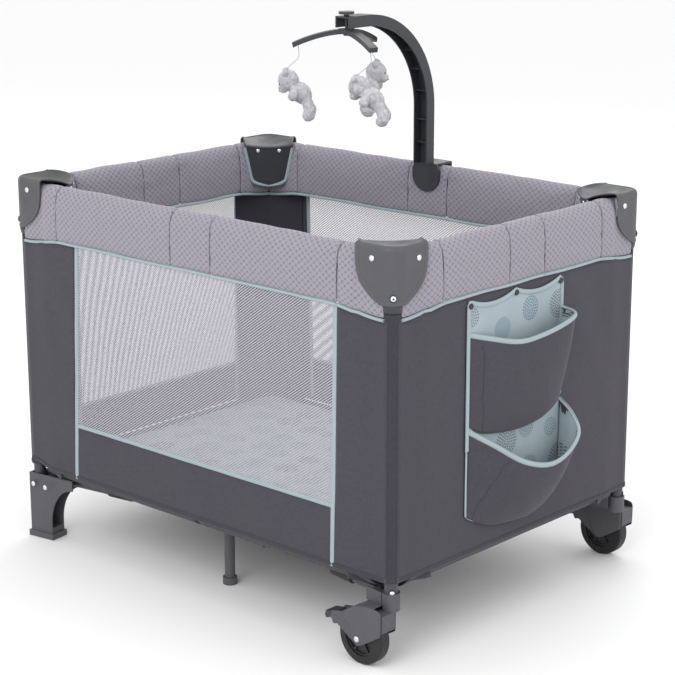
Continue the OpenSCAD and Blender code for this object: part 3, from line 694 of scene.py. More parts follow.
SIDES = {
    "front": Side("front", (1, 0, 0), (0, -1, 0), HX, HY),
    "back": Side("back", (1, 0, 0), (0, 1, 0), HX, HY),
    "left": Side("left", (0, 1, 0), (-1, 0, 0), HY, HX),
    "right": Side("right", (0, 1, 0), (1, 0, 0), HY, HX),
}
RAILS = {"front": ("rail_front_l", "rail_front_r"), "back": ("rail_back_l", "rail_back_r"),
         "left": ("rail_left_f", "rail_left_b"), "right": ("rail_right_f", "rail_right_b")}
LEGS = {"front": ("leg_front_left", "leg_front_right"), "back": ("leg_back_left", "leg_back_right"),
        "left": ("leg_front_left", "leg_back_left"), "right": ("leg_front_right", "leg_back_right")}
SEAMS = {"front": (-0.045, 0.060), "back": (-0.052, 0.052), "left": (-0.050, 0.050),
         "right": (-0.046, 0.054)}


def pad_drop(side, u):
    """How far the cover's lower edge hangs below its line, near a post."""
    return 0.011 * float(step01((abs(u) - (side.half - 0.125)) / 0.115))


def pad_point(side, u, v, w):
    """v out from the rail's plane, w up from the rail; the cover narrows under the caps."""
    tight = float(step01((abs(u) - (side.half - 0.074)) / 0.012))
    v = v * lerp(1.0, 0.815, tight)
    if w < -0.04:
        w = w - pad_drop(side, u) * (-0.04 - w) / 0.0275
    if w > 0.03:
        w = w - 0.0015 * tight
    w += 0.0016 * soft_noise((u, side.plane, 0), (11, 3, 1), side.half * 7) * (1 - tight)
    v += 0.0008 * soft_noise((u, w * 2, side.plane), (17, 17, 3), 3.3) * (1 - tight)
    return side.at(u, v, RAIL_Z + w)


def pad_piece(side, tag, u0, u1, body, seams, squash, puff):
    """One length of cover between two seams, as a closed inverted U with puckers at its seams."""
    n = max(6, int(round(abs(u1 - u0) / 0.0068)))
    us = np.linspace(u0, u1, n + 1)
    rows = []
    for u in us:
        pinch = sum(math.exp(-abs(u - e) / 0.0035) for e in seams)
        loop = [pad_point(side, u, a * (1 - 0.075 * pinch), b - 0.0018 * pinch * (b > 0))
                for a, b in OUT_SEC]
        loop += [pad_point(side, u, a, b) for a, b in IN_SEC[::-1]]
        rows.append([tuple(p) for p in loop])
    flip = side.name in ("back", "left")
    o = grid(f"pad_{side.name}_{tag}", rows, M["pad"], close_v=True, caps=False, flip=not flip)
    # close the ends with quads between the skins
    import bmesh
    bm = bmesh.new()
    bm.from_mesh(o.data)
    bm.verts.ensure_lookup_table()
    uvl = bm.loops.layers.uv.active
    m = 2 * NV
    for i in (0, n):
        for j in range(NV - 1):
            ids = [i * m + j, i * m + j + 1, i * m + m - 2 - j, i * m + m - 1 - j]
            f = bm.faces.new([bm.verts[k] for k in ids])
            f.smooth = True
            for lp in f.loops:
                lp[uvl].uv = (0.001, 0.001)
    bmesh.ops.recalc_face_normals(bm, faces=bm.faces)
    bm.to_mesh(o.data)
    bm.free()
    if puff:
        pin = np.ones((n + 1, m))
        for i in range(n + 1):
            edge = min(i, n - i)
            for j in range(1, NV - 1):
                pin[i, j] = 0.0 if edge > 0 and 1 < j < NV - 2 else 1.0
        inflate(o, pin.ravel(), puff, 0.0045)
    modify(o, "SUBSURF", levels=1, render_levels=1)
    apply_all(o)

    def folds(p):
        u = p.dot(side.along)
        away = min([abs(u - e) for e in seams] + [0.5])
        t = math.exp(-away / 0.022)
        out = p.dot(side.out) - side.plane
        if abs(out) < 0.0172 and p.z < RAIL_Z + 0.019:
            return 0.0
        ridge = soft_noise((u, out, p.z), (9, 40, 95), 1.7)
        long = soft_noise((u * 0.7 + p.z * 0.6, out, p.z - u * 0.25), (26, 26, 34), 5.1)
        return 0.0014 * t * ridge + 0.0011 * long
    wrinkle(o, folds)
    parts = [o]
    # piping along both lower edges
    for sgn in (1, -1):
        line = [pad_point(side, u, sgn * 0.0190, -0.0690) for u in np.linspace(u0, u1, n + 1)]
        parts.append(sweep("piping", [tuple(p) for p in line], oval(0.0062, 0.0075, 8), M["tape"],
                           normal=tuple(side.out)))
    o = join(o.name, parts)
    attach(o, body)
    if squash:
        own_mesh(o)
    return o


PADS = []
for key, side in SIDES.items():
    end, gusset = side.half - 0.0045, side.half - 0.107
    a, b = SEAMS[key]
    (ra, rb), (la, lb) = RAILS[key], LEGS[key]
    PADS.append(pad_piece(side, "end_a", -end, -gusset, la, [-gusset], False, 0))
    PADS.append(pad_piece(side, "main_a", -gusset, a, ra, [-gusset, a], True, 4.0))
    PADS.append(pad_piece(side, "middle", a, b, ra, [a, b], True, 2.0))
    PADS.append(pad_piece(side, "main_b", b, gusset, rb, [b, gusset], True, 4.0))
    PADS.append(pad_piece(side, "end_b", gusset, end, lb, [gusset], False, 0))

# ---------------------------------------------------------------- fabric sides

SIDE_END = -0.0032                            # cloth runs this far past the post's centre


def wall_v(side, u, z, seed):
    """How far outside the post plane the cloth stands."""
    t = float(step01((abs(u) - (side.half - 0.072)) / 0.060))
    low = step01((z - HEM) / 0.05) * step01((PAD_LOW - z) / 0.06)
    big = soft_noise((u, z, 0), (4.2, 3.4, 1), seed)
    folds = soft_noise((u + 0.35 * z, z, 1), (19, 5.5, 1), seed + 3.1)
    fine = soft_noise((u - 0.6 * z, z, 2), (38, 30, 1), seed + 7.7)
    w = 0.0013 * big + 0.0008 * folds * float(low) + 0.00035 * fine
    return lerp(0.0184 + w * (1 - t), 0.0154, t)


def wall_top(side, u):
    return PAD_LOW - 0.0035 - pad_drop(side, u)


def wall_hem(side, u):
    """The hem lifts a little at the two posts with feet."""
    foot = side.name == "left" or (side.name != "right" and u < 0)
    return HEM + 0.0035 + (0.008 if foot else 0.0) * float(step01((abs(u) - (side.half - 0.060)) / 0.048))


def window_edge(window, which, z):
    lo, hi = window[which]
    return lerp(lo, hi, (z - HEM) / (PAD_LOW - HEM))


# (left edge at hem, at top), (right edge at hem, at top), band's top
WINDOWS = {
    "front": ((-0.338, -0.313), (0.357, 0.366), 0.268),
    "back": ((-0.366, -0.376), (0.338, 0.350), 0.252),
    "left": ((-0.214, -0.204), (0.246, 0.2545), 0.242),
    "right": None,
}


def build_wall(key, seed):
    side, window = SIDES[key], WINDOWS[key]
    end = side.half - SIDE_END
    flip = key in ("front", "right")
    parts = []
    if window is None:
        us = np.linspace(-end, end, 84)
        rows = []
        for u in us:
            zs = np.linspace(wall_hem(side, u), wall_top(side, u), 44)
            rows.append([tuple(side.at(u, wall_v(side, u, z, seed), z)) for z in zs])
        cloth = grid(f"cloth_{key}", rows, M["cloth"], flip=flip)
    else:
        band = window[2]

        def columns(z):
            a, b = window_edge(window, 0, z), window_edge(window, 1, z)
            return np.concatenate([np.linspace(-end, a, 16), np.linspace(a, b, 56)[1:-1],
                                   np.linspace(b, end, 16)])
        zt = np.concatenate([np.linspace(HEM, band, 10), np.linspace(band, PAD_LOW, 30)[1:]])
        cols = np.array([columns(z) for z in zt])
        rows = []
        for i in range(cols.shape[1]):
            row = []
            for j, z in enumerate(zt):
                u = cols[j, i]
                lo, hi = wall_hem(side, u), wall_top(side, u)
                zz = lerp(lo, hi, (z - HEM) / (PAD_LOW - HEM)) if i < 15 or i > cols.shape[1] - 16 else \
                    (max(lo, z) if j < 9 else min(z, hi))
                row.append(tuple(side.at(u, wall_v(side, u, zz, seed), zz)))
            rows.append(row)
        rows = np.array(rows)
        cloth = grid(f"cloth_{key}", rows, M["cloth"], flip=flip,
                     keep=lambda i, j: i < 15 or i >= cols.shape[1] - 16 or j < 9)
        net = grid(f"netting_{key}", rows[15:cols.shape[1] - 15, 9:], M["net"], flip=flip)
        squash_wall(net, key)
        # pale bindings down both window edges and along the band
        for which in (0, 1):
            line = []
            for z in np.linspace(HEM + 0.004, PAD_LOW - 0.004, 60):
                u = window_edge(window, which, z) + (0.003 if which == 0 else -0.003)
                line.append(tuple(side.at(u, wall_v(side, u, z, seed), z)))
            parts.append(sweep("binding", line, ribbon_section(0.0104, 0.0030), M["tape"],
                               normal=tuple(side.out)))
        line = []
        for u in np.linspace(window_edge(window, 0, band), window_edge(window, 1, band), 90):
            line.append(tuple(side.at(u, wall_v(side, u, band, seed), band)))
        parts.append(sweep("binding", line, ribbon_section(0.0082, 0.0026), M["tape"],
                           normal=tuple(side.out)))
    modify(cloth, "SOLIDIFY", thickness=0.0011, offset=0.0)
    apply_all(cloth)
    hem = []
    for u in np.linspace(-end, end, 110):
        z = wall_hem(side, u) + 0.0042
        hem.append(tuple(side.at(u, wall_v(side, u, z, seed), z)))
    parts.append(sweep("hem", hem, ribbon_section(0.0105, 0.0030), M["tape_dark"], normal=tuple(side.out)))
    bands = join(f"bindings_{key}", parts)
    squash_wall(bands, key)
    return cloth, bands


WALL_BODY = {"front": "leg_front_left", "back": "leg_back_left",
             "left": "leg_front_left", "right": "leg_front_right"}


def squash_wall(o, key):
    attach(o, WALL_BODY[key])
    if key in ("front", "back"):
        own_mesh(o)
    else:
        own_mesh(o)


for n_side, key in enumerate(SIDES):
    cloth, bands = build_wall(key, 2.3 + 5.7 * n_side)
    side = SIDES[key]
    flat = (2 * side.half, PAD_LOW - HEM)
    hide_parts(f"side_{key}")
    squash_wall(cloth, key)

# ---------------------------------------------------------------- sleeves round the posts, corner liners

CORNERS = {"front_left": (-1, -1), "front_right": (1, -1), "back_left": (-1, 1), "back_right": (1, 1)}


def corner_sheet(name, plan, z0, z1, mat, n_z, flip, seed, rise=None, thick=0.0011, amp=0.0005):
    """Upright sheet over a plan curve of (x, y); rise(i/n) lifts its lower edge."""
    rows = []
    for i, (x, y) in enumerate(plan):
        lo = z0 + (rise(i / (len(plan) - 1)) if rise else 0.0)
        row = []
        for z in np.linspace(lo, z1, n_z):
            d = amp * soft_noise((x * 3, y * 3, z), (9, 9, 16), seed)
            row.append((x + d, y + d, z))
        rows.append(row)
    o = grid(name, rows, mat, flip=flip)
    modify(o, "SOLIDIFY", thickness=thick, offset=0.0)
    return apply_all(o)


for tag, (sx, sy) in CORNERS.items():
    leg = f"leg_{tag}"
    cx, cy = sx * HX, sy * HY
    # sleeve round the outside of the post
    angles = np.radians(np.linspace(-36, 126, 24))
    plan = [(cx + sx * 0.0148 * math.cos(a), cy + sy * 0.0148 * math.sin(a)) for a in angles]
    # the sleeve uses the darker painted-shade copy of the charcoal cloth
    sleeve = corner_sheet(f"sleeve_{tag}", plan, HEM + 0.003, CAP_LOW - 0.0045, M["cloth_painted_shade"], 60,
                          flip=sx * sy < 0, seed=3 * sx + sy, amp=0.0)
    hem = [(cx + sx * 0.0150 * math.cos(a), cy + sy * 0.0150 * math.sin(a), HEM + 0.0075) for a in angles]
    edge = sweep("hem", hem, ribbon_section(0.0095, 0.0026), M["tape_dark"],
                 normal=[(p[0] - cx, p[1] - cy, 0) for p in hem])
    sleeve = join(f"sleeve_{tag}", [sleeve, edge])
    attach(sleeve, leg)
    # liner on the inside, two panels that meet at a stitched upright line
    wing = 0.088
    corner = 0.0165

    def outward(d):
        """The liner's distance outside the posts' plane, d along the wall from the post."""
        return 0.0155 - (0.0155 + corner) * (1 - ((d - corner) / (wing - corner))) ** 1.25
    along_x = [(cx - sx * d, cy + sy * outward(d)) for d in np.linspace(wing, corner, 16)]
    along_y = [(cx + sx * outward(d), cy - sy * d) for d in np.linspace(corner, wing, 16)][1:]
    # the liner uses the darker painted-shade copy of the charcoal cloth
    liner = corner_sheet(f"corner_liner_{tag}", along_x + along_y, MAT_LO.z + 0.001, PAD_LOW + 0.002,
                         M["cloth_painted_shade"], 40, flip=sx * sy > 0, seed=9 * sx - sy, amp=0.0009)
    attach(liner, leg)

# ---------------------------------------------------------------- corner caps' fittings


def rivet(at, axis, r=0.0042, washer=None):
    """Domed rivet with a rolled rim, seen from along axis."""
    prof = [(r * 1.25, -0.0006), (r * 1.25, 0.0004), (r * 1.12, 0.0010), (r * 0.98, 0.0009),
            (r * 0.92, 0.0011), (r * 0.72, 0.0019), (r * 0.45, 0.0023), (r * 0.30, 0.0018), (0, 0.0016)]
    o = lathe("rivet", prof, at, axis, M["rivet"], 20)
    if washer:
        disc = [(washer, -0.0005), (washer, 0.0004), (washer * 0.94, 0.0009), (0, 0.0009)]
        w = lathe("washer", disc, at, axis, M["black"], 24)
        return join("rivet", [o, w])
    return o


for tag, (sx, sy) in CORNERS.items():
    leg = f"leg_{tag}"
    cx, cy = sx * HX, sy * HY
    fittings = []
    outer = 0.0231
    # outside rivets, one on each wing; the low one on the corner's rounding is added with the cap shell
    fittings.append(rivet((cx - sx * 0.026, cy + sy * outer, CAP_TOP - 0.0215), (0, sy, 0)))
    fittings.append(rivet((cx + sx * outer, cy - sy * 0.040, CAP_TOP - 0.0235), (sx, 0, 0)))
    rivets = join(f"cap_rivets_{tag}", fittings)
    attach(rivets, leg)

# ---------------------------------------------------------------- inner shields and corner pads


def corner_frame(tag):
    sx, sy = CORNERS[tag]
    base = Vector((sx * HX, sy * HY, 0))
    return base, Vector((-sx, -sy, 0)).normalized(), Vector((-sy, sx, 0)).normalized() * (sx * sy)


def shield_half(t):
    """Half width of the inner shield, t from 0 at its top to 1 at its bottom."""
    side = lerp(0.0515, 0.0340, t)
    round_off = 1 - max(0.0, (t - 0.80) / 0.20) ** 2.4
    return side * max(0.0, round_off) ** 0.45


def shield_depth(t, s):
    return lerp(0.0830, 0.0680, t) + 0.0035 * (1 - s * s)


def shield_top(s):
    """The inner shield's upper edge dips between its tips."""
    return CAP_TOP - 0.0085 - 0.0040 * (1 - s * s)


for tag in CORNERS:
    leg = f"leg_{tag}"
    base, d, a = corner_frame(tag)
    top, bottom = CAP_TOP - 0.0085, CAP_TOP - 0.0960
    ts = np.concatenate([np.linspace(0, 0.8, 18), 0.8 + 0.2 * np.sin(np.linspace(0, math.pi / 2, 12))[1:]])
    ss = np.linspace(-1, 1, 25)

    def plate(off):
        return [[tuple(base + d * (shield_depth(t, s) + off) + a * (s * shield_half(t)) +
                       Vector((0, 0, lerp(shield_top(s), bottom, t)))) for s in ss] for t in ts]
    face = grid("shield", plate(0.0), M["dark"])
    merge(face, 1e-6)
    modify(face, "SOLIDIFY", thickness=0.0032, offset=0.0)
    modify(face, "BEVEL", width=0.0007, segments=2)
    apply_all(face)
    bits = [face]
    lip = [tuple(base + d * (shield_depth(0.02, s) + 0.0006) + a * (s * 0.0512) +
                 Vector((0, 0, shield_top(s) - 0.001))) for s in ss]
    bits.append(sweep("lip", lip, oval(0.0052, 0.0056, 12), M["dark"]))
    rim = []
    for s in np.linspace(-0.86, 0.86, 24):
        t = 0.865
        rim.append(tuple(base + d * (shield_depth(t, s) + 0.0016) + a * (s * shield_half(t) * 0.95) +
                         Vector((0, 0, lerp(top, bottom, t)))))
    bits.append(sweep("rim", rim, oval(0.0015, 0.0014, 8), M["dark"]))
    for k in (-1, 1):
        t, s = 0.10, k * 0.46
        at = base + d * (shield_depth(t, s) + 0.0018) + a * (s * shield_half(t)) + \
            Vector((0, 0, lerp(shield_top(s), bottom, t)))
        bits.append(rivet(tuple(at), tuple(d), r=0.0034))
    shield_piece = join(f"cap_shield_{tag}", bits)
    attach(shield_piece, leg)
    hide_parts(f"cap_inner_{tag}")
    # pale tape round the shield's edge
    line = []
    for k in (-1, 1):
        run = []
        for t in np.linspace(0.03, 1.0, 26):
            w = shield_half(t) + (0.0012 if t < 0.9 else 0.0)
            run.append(base + d * (shield_depth(t, 1.0) + 0.0020) + a * (k * w) +
                       Vector((0, 0, lerp(top, bottom, t) - (0.0022 if t > 0.85 else 0))))
        line += run if k < 0 else run[::-1]
    keep_pts = [line[0]]
    for p in line[1:]:
        if (p - keep_pts[-1]).length > 0.004:
            keep_pts.append(p)
    tube = sweep(f"shield_binding_{tag}", [tuple(p) for p in keep_pts], oval(0.0072, 0.0042, 10), M["tape"],
                 normal=tuple(d), step=0.004)
    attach(tube, leg)
    # the cover's lower band goes round the corner under the shield
    half_plan = [(-110, -21.6), (-96, -22.2), (-82, -24.5), (-66, -32), (-53, -42)]
    plan = half_plan + [(-47.5, -47.5)] + [(y, x) for x, y in reversed(half_plan)]
    pts = smooth_path([(sx * (HX + x / 1000), sy * (HY + y / 1000), 0) for x, y in plan], 0.006)
    rows = []
    for k, p in enumerate(pts):
        sag = 0.004 * math.sin(math.pi * k / (len(pts) - 1))
        rows.append([(p[0], p[1], z) for z in np.linspace(PAD_LOW + sag, RAIL_Z - 0.005, 16)])
    band = grid(f"corner_pad_{tag}", rows, M["pad"], flip=sx * sy < 0)
    modify(band, "SOLIDIFY", thickness=0.003, offset=0.0)
    modify(band, "SUBSURF", levels=1, render_levels=1)
    apply_all(band)
    wrinkle(band, lambda p: 0.0009 * soft_noise(p, (30, 30, 45), 4.4))
    edge = sweep("piping", [(p[0], p[1], PAD_LOW + 0.004 * math.sin(math.pi * k / (len(pts) - 1)) - 0.0012)
                            for k, p in enumerate(pts)], oval(0.0042, 0.0048, 8), M["tape"])
    band = join(f"corner_pad_{tag}", [band, edge])
    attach(band, leg)
    # pale tape beside the outer wings' tips
    ties = []
    for side_key in ("x", "y"):
        pts = []
        for t in np.linspace(0, 1, 10):
            z = CAP_TOP - 0.006 - 0.034 * t
            u, v = 0.0665 - 0.006 * t, 0.0195 + 0.0012 * math.sin(math.pi * t)
            off = (-u, v) if side_key == "x" else (v, -u)
            pts.append((sx * (HX + off[0]), sy * (HY + off[1]), z))
        ties.append(sweep("tie", pts, oval(0.0050, 0.0042, 8), M["tape"],
                          normal=(0, sy, 0) if side_key == "x" else (sx, 0, 0)))
    tie = join(f"cap_binding_{tag}", ties)
    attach(tie, leg)

# ---------------------------------------------------------------- outer cap shells


def cap_curve(n):
    """Plan of the cap's outer face from wing tip to wing tip, with its outward direction."""
    pts = [(-64, 22.4), (-52, 22.9), (-40, 23), (-24, 23), (-9, 23)]
    pts += [(-9 + 32 * math.sin(q), -9 + 32 * math.cos(q)) for q in np.radians([11, 22, 34, 45, 56, 68, 79])]
    pts += [(23, -9), (23, -24), (23, -40), (22.9, -52), (22.4, -64)]
    p = resample(np.array(pts) / 1000, n)
    t = np.gradient(p, axis=0)
    t /= np.linalg.norm(t, axis=1)[:, None]
    return p, np.stack([-t[:, 1], t[:, 0]], axis=1)


CAP_N = 121
CAP_P, CAP_DIR = cap_curve(CAP_N)
CAP_LEN = float(arc_lengths(CAP_P)[-1])
CAP_T = [0, 0.30, 0.42, 0.54, 0.64, 0.72, 0.79, 0.86, 0.94, 1.0]
CAP_W = [1, 0.997, 0.98, 0.94, 0.88, 0.80, 0.71, 0.60, 0.44, 0.30]


def cap_point(s, off):
    """Plan point at s from -1 to 1 along the cap, moved outward by off."""
    k = (s + 1) / 2 * (CAP_N - 1)
    x, y = np.interp(k, range(CAP_N), CAP_P[:, 0]), np.interp(k, range(CAP_N), CAP_P[:, 1])
    dx, dy = np.interp(k, range(CAP_N), CAP_DIR[:, 0]), np.interp(k, range(CAP_N), CAP_DIR[:, 1])
    return x + dx * off, y + dy * off


def cap_rise(s):
    return CAP_TOP + 0.0016 * math.exp(-((1 - abs(s)) / 0.07) ** 2)


COLLAR = [(0.0162, 0.0), (0.0172, 0.0008), (0.0186, 0.010), (0.0190, 0.0155), (0.0150, 0.0170),
          (0.0127, 0.0170), (0.0127, 0.0)]
PIN = [(0, -0.0193), (0.0026, -0.0193), (0.0030, -0.0188), (0.0030, 0.0188), (0.0026, 0.0193), (0, 0.0193)]

for tag, (sx, sy) in CORNERS.items():
    rows = []
    h = CAP_TOP - CAP_LOW - 0.0105
    tt = np.concatenate([np.linspace(0, 0.10, 9), np.linspace(0.10, 0.80, 34)[1:],
                         np.linspace(0.80, 1.0, 16)[1:]])
    sig = np.concatenate([np.linspace(-1, -0.82, 12), np.linspace(-0.82, 0.82, 50)[1:-1],
                          np.linspace(0.82, 1, 12)])
    wt = np.interp(tt, CAP_T, CAP_W)
    slope = np.gradient(wt, tt) * CAP_LEN / 2 / h
    for t, w, sl in zip(tt, wt, slope):
        row = []
        for g in sig:
            st = g * w
            e = min((1 - abs(g)) * w * CAP_LEN / 2 / math.sqrt(1 + sl * sl), (1 - t) * h + 0.002)
            border = 0.0009 * (1 - float(step01((e - 0.0058) / 0.0011)))
            off = border - 0.0006 * math.exp(-((e - 0.0078) / 0.0006) ** 2)
            q = max(0.0, (0.085 - t) / 0.085)
            off -= 0.0062 * (1 - math.sqrt(max(0.0, 1 - q * q)))
            x, y = cap_point(st, off - 0.0020)
            row.append((sx * (HX + x), sy * (HY + y), cap_rise(st) - t * h))
        rows.append(row)
    outer = grid("cap_face", rows, M["grey"])
    modify(outer, "SOLIDIFY", thickness=0.0028, offset=0.0)
    modify(outer, "BEVEL", width=0.0006, segments=2, limit_method="ANGLE")
    apply_all(outer)
    # dished bridge from the outer edge to the inner shield
    base, d, a = corner_frame(tag)
    bridge = []
    for g in np.linspace(-1, 1, 41):
        x, y = cap_point(g, -0.0078)
        p = Vector((sx * (HX + x), sy * (HY + y), cap_rise(g) - 0.0004))
        q = base + d * (shield_depth(0, g) + 0.0004) + a * (-g * 0.0518)
        q += Vector((0, 0, shield_top(g) + 0.0006))
        dish = -0.0050 + 0.0082 * g * g
        bridge.append([tuple(p.lerp(q, v) + Vector((0, 0, dish * math.sin(math.pi * v) ** 0.8)))
                       for v in np.linspace(0, 1, 14)])
    top = grid("cap_bridge", bridge, M["dark"])
    modify(top, "SOLIDIFY", thickness=0.0022, offset=0.0)
    apply_all(top)
    cx, cy = sx * HX, sy * HY
    collar = lathe("collar", COLLAR, (cx, cy, CAP_LOW - 0.0035), (0, 0, 1), M["dark"], 40)
    pins = [lathe("pin", PIN, (cx - sx * 0.035 * i, cy - sy * 0.035 * (1 - i), RAIL_Z), (1 - i, i, 0),
                  M["rivet"], 16) for i in (0, 1)]
    bx, by = cap_point(0.0, 0.0006)
    low = rivet((sx * (HX + bx), sy * (HY + by), CAP_LOW + 0.0235), (sx, sy, 0), r=0.0040, washer=0.0060)
    # painted shade: a small black dome stands in for the shade inside the low rivet's hollow centre
    hole_shade = lathe("socket", [(0.0016, -0.001), (0.0016, 0.0021), (0.0010, 0.0024), (0, 0.0022)],
                 (sx * (HX + bx + 0.0003), sy * (HY + by + 0.0003), CAP_LOW + 0.0235), (sx, sy, 0),
                 M["black"], 12)
    o = join(f"cap_shell_{tag}", [outer, top, collar, low, hole_shade] + pins)
    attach(o, f"leg_{tag}")
    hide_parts(f"cap_{tag}")

# ---------------------------------------------------------------- mattress and floor cloth


def signed_pow(v, p):
    return math.copysign(abs(v) ** p, v)


def mattress_half(tag, sx):
    lo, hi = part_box(f"mattress_{tag}")
    x_in, x_out = (lo.x, hi.x) if sx > 0 else (hi.x, lo.x)
    zc, half_t = (lo.z + hi.z) / 2, (hi.z - lo.z) / 2
    r, hy = 0.028, hi.y
    n, m = 58, 72
    tt = (1 - np.cos(np.linspace(0, math.pi, n))) / 2
    tt = 0.35 * tt + 0.65 * np.linspace(0, 1, n)
    rows = []
    for t in tt:
        x = lerp(x_in, x_out, t)
        from_out = abs(x_out - x)
        w = hy - 0.0015
        if from_out < r:
            w -= r - math.sqrt(max(0, r * r - (r - from_out) ** 2))
        near = min(abs(x - x_in), from_out)
        k = min(1.0, max(0.0, near / 0.011)) ** 0.5
        crease = 1 - 0.16 * math.exp(-((t - 0.5) / 0.016) ** 2)
        row = []
        for j in range(m):
            ang = 2 * math.pi * j / m
            y = w * signed_pow(math.cos(ang), 0.42)
            z = zc + half_t * max(0.06, k) * (crease if math.sin(ang) > 0 else 1) * \
                signed_pow(math.sin(ang), 0.42) * 0.90
            row.append((x, y, z))
        rows.append(row)
    o = grid(f"pad_floor_{tag}", rows, M["mattress"], close_v=True, caps=True, flip=sx > 0)
    pin = np.zeros((n, m))
    pin[0], pin[-1] = 1, 1
    for j in range(m):
        if abs(math.sin(2 * math.pi * j / m)) < 0.25 or math.sin(2 * math.pi * j / m) < 0:
            pin[:, j] = 1
    pin[np.abs(tt - 0.5) < 0.012] = 1
    inflate(o, pin.ravel(), 2.5, 0.0035, stiff=25)
    modify(o, "SUBSURF", levels=1, render_levels=1)
    apply_all(o)

    def dents(p):
        if p.z < zc:
            return 0.0
        return 0.0012 * soft_noise(p, (7, 7, 1), 2.2) + 0.0005 * soft_noise(p, (26, 19, 1), 8.1)
    wrinkle(o, dents)
    edge = []
    for t in tt:
        x = lerp(x_in, x_out, t)
        from_out = abs(x_out - x)
        w = hy - 0.0012
        if from_out < r:
            w -= r - math.sqrt(max(0, r * r - (r - from_out) ** 2))
        edge.append((x, w))
    loop = [(x, -w, zc) for x, w in edge] + [(x, w, zc) for x, w in edge[::-1]]
    loop = [p for k, p in enumerate(loop) if k == 0 or math.dist(p, loop[k - 1]) > 0.003]
    cord = sweep("edge", loop, oval(0.0042, 0.0042, 8), M["tape"], normal=(0, 0, 1))
    o = join(f"mattress_pad_{tag}", [o, cord])
    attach(o, "mattress_l" if sx < 0 else "mattress_r")
    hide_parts(f"mattress_{tag}")
    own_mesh(o)
    # dark floor cloth under the mattress, in the darker painted-shade copy of the charcoal cloth
    z = lo.z - 0.0028
    rows = []
    reach = 0.0158
    for x in np.concatenate([np.linspace(0.002, HX - 0.012, 34), np.linspace(HX - 0.012, HX + reach, 9)[1:]]):
        cut = max(0.0, 0.058 - (HX + reach - x))
        w = HY + reach - cut
        row = []
        for y in np.concatenate([np.linspace(-w, -w + 0.028, 8), np.linspace(-w + 0.028, w - 0.028, 34)[1:-1],
                                 np.linspace(w - 0.028, w, 8)]):
            lift = 0.0165 * float(step01((max(x - HX, abs(y) - HY) + 0.004) / 0.0198))
            row.append((sx * x, y, z + lift + 0.0004 * soft_noise((x, y, 0), (12, 12, 1), 3.0)))
        rows.append(row)
    f = grid(f"floor_cloth_{tag}", rows, M["cloth_painted_shade"], flip=sx < 0)
    modify(f, "SOLIDIFY", thickness=0.0009, offset=0.0)
    apply_all(f)
    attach(f, "mattress_l" if sx < 0 else "mattress_r")
    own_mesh(f)


mattress_half("left", -1)
mattress_half("right", 1)

# ---------------------------------------------------------------- organizer

ORG_X = HX + 0.0212
ORG_Z = PAD_LOW - 0.633                        # how far the covers' lower edge is from its usual height


def org(y, d, z):
    return (ORG_X + d, y, z + ORG_Z)


def curve3(pts, n):
    p = smooth_path(pts, 0.002)
    return resample3(p, n)


def resample3(p, n):
    s = arc_lengths(p)
    q = np.linspace(0, s[-1], n)
    return np.stack([np.interp(q, s, p[:, k]) for k in range(p.shape[1])], axis=1)


def pocket(name, rim, foot, bulge, seed, seam=None):
    """Outer cloth from foot curve to rim curve, both as (y, depth, z), swelling out between them."""
    n, m = 54, 40
    top, low = curve3(rim, n), curve3(foot, n)
    rows = []
    for i in range(n):
        t = i / (n - 1)
        row = []
        for j in range(m):
            w = j / (m - 1)
            y = lerp(low[i][0], top[i][0], w ** 0.9)
            z = lerp(low[i][2], top[i][2], w)
            d = lerp(low[i][1], top[i][1], w ** bulge)
            full = math.sin(math.pi * t) ** 0.6 * math.sin(math.pi * w) ** 0.8
            d += full * (0.004 + 0.0018 * soft_noise((y, z, seed), (16, 11, 1), seed)
                         + 0.0012 * soft_noise((y + z * 0.8, z - y, seed), (34, 12, 1), seed + 2))
            row.append(org(y, max(0.0012, d), z))
        rows.append(row)
    P = np.array(rows)
    outer = grid(name, P, M["cloth"])
    modify(outer, "SOLIDIFY", thickness=0.0010, offset=-1.0)
    apply_all(outer)
    inner = P.copy()
    inner[:, :, 0] -= 0.0022
    inner[:, :, 1] += np.sign(P[n // 2, m // 2, 1] - P[:, :, 1]) * 0.0006
    inner[:, :, 0] = np.maximum(inner[:, :, 0], ORG_X + 0.0009)
    lining = grid(name + "_lining", inner, M["lining"], flip=True)
    modify(lining, "SOLIDIFY", thickness=0.0007, offset=0.0)
    apply_all(lining)
    rim_pts = [tuple(p + np.array([-0.0008, 0, -0.0028])) for p in P[:, -1]]
    tape_piece = sweep(name + "_binding", rim_pts, ribbon_section(0.0100, 0.0042), M["tape"],
                       normal=(1, 0, 0.0))
    bits = [tape_piece]
    if seam:
        i0, i1 = seam
        line = []
        for w in np.linspace(0.03, 0.97, 30):
            i = lerp(i0, i1, w) * (n - 1)
            j = w * (m - 1)
            line.append(tuple(P[int(round(i)), int(round(j))] + np.array([0.0003, 0, 0])))
        line = smooth_path(line[::3], 0.006)
        bits.append(sweep(name + "_seam", [tuple(p) for p in line], oval(0.0020, 0.0010, 8), M["cloth"],
                          normal=(1, 0, 0)))
    return outer, lining, bits, P


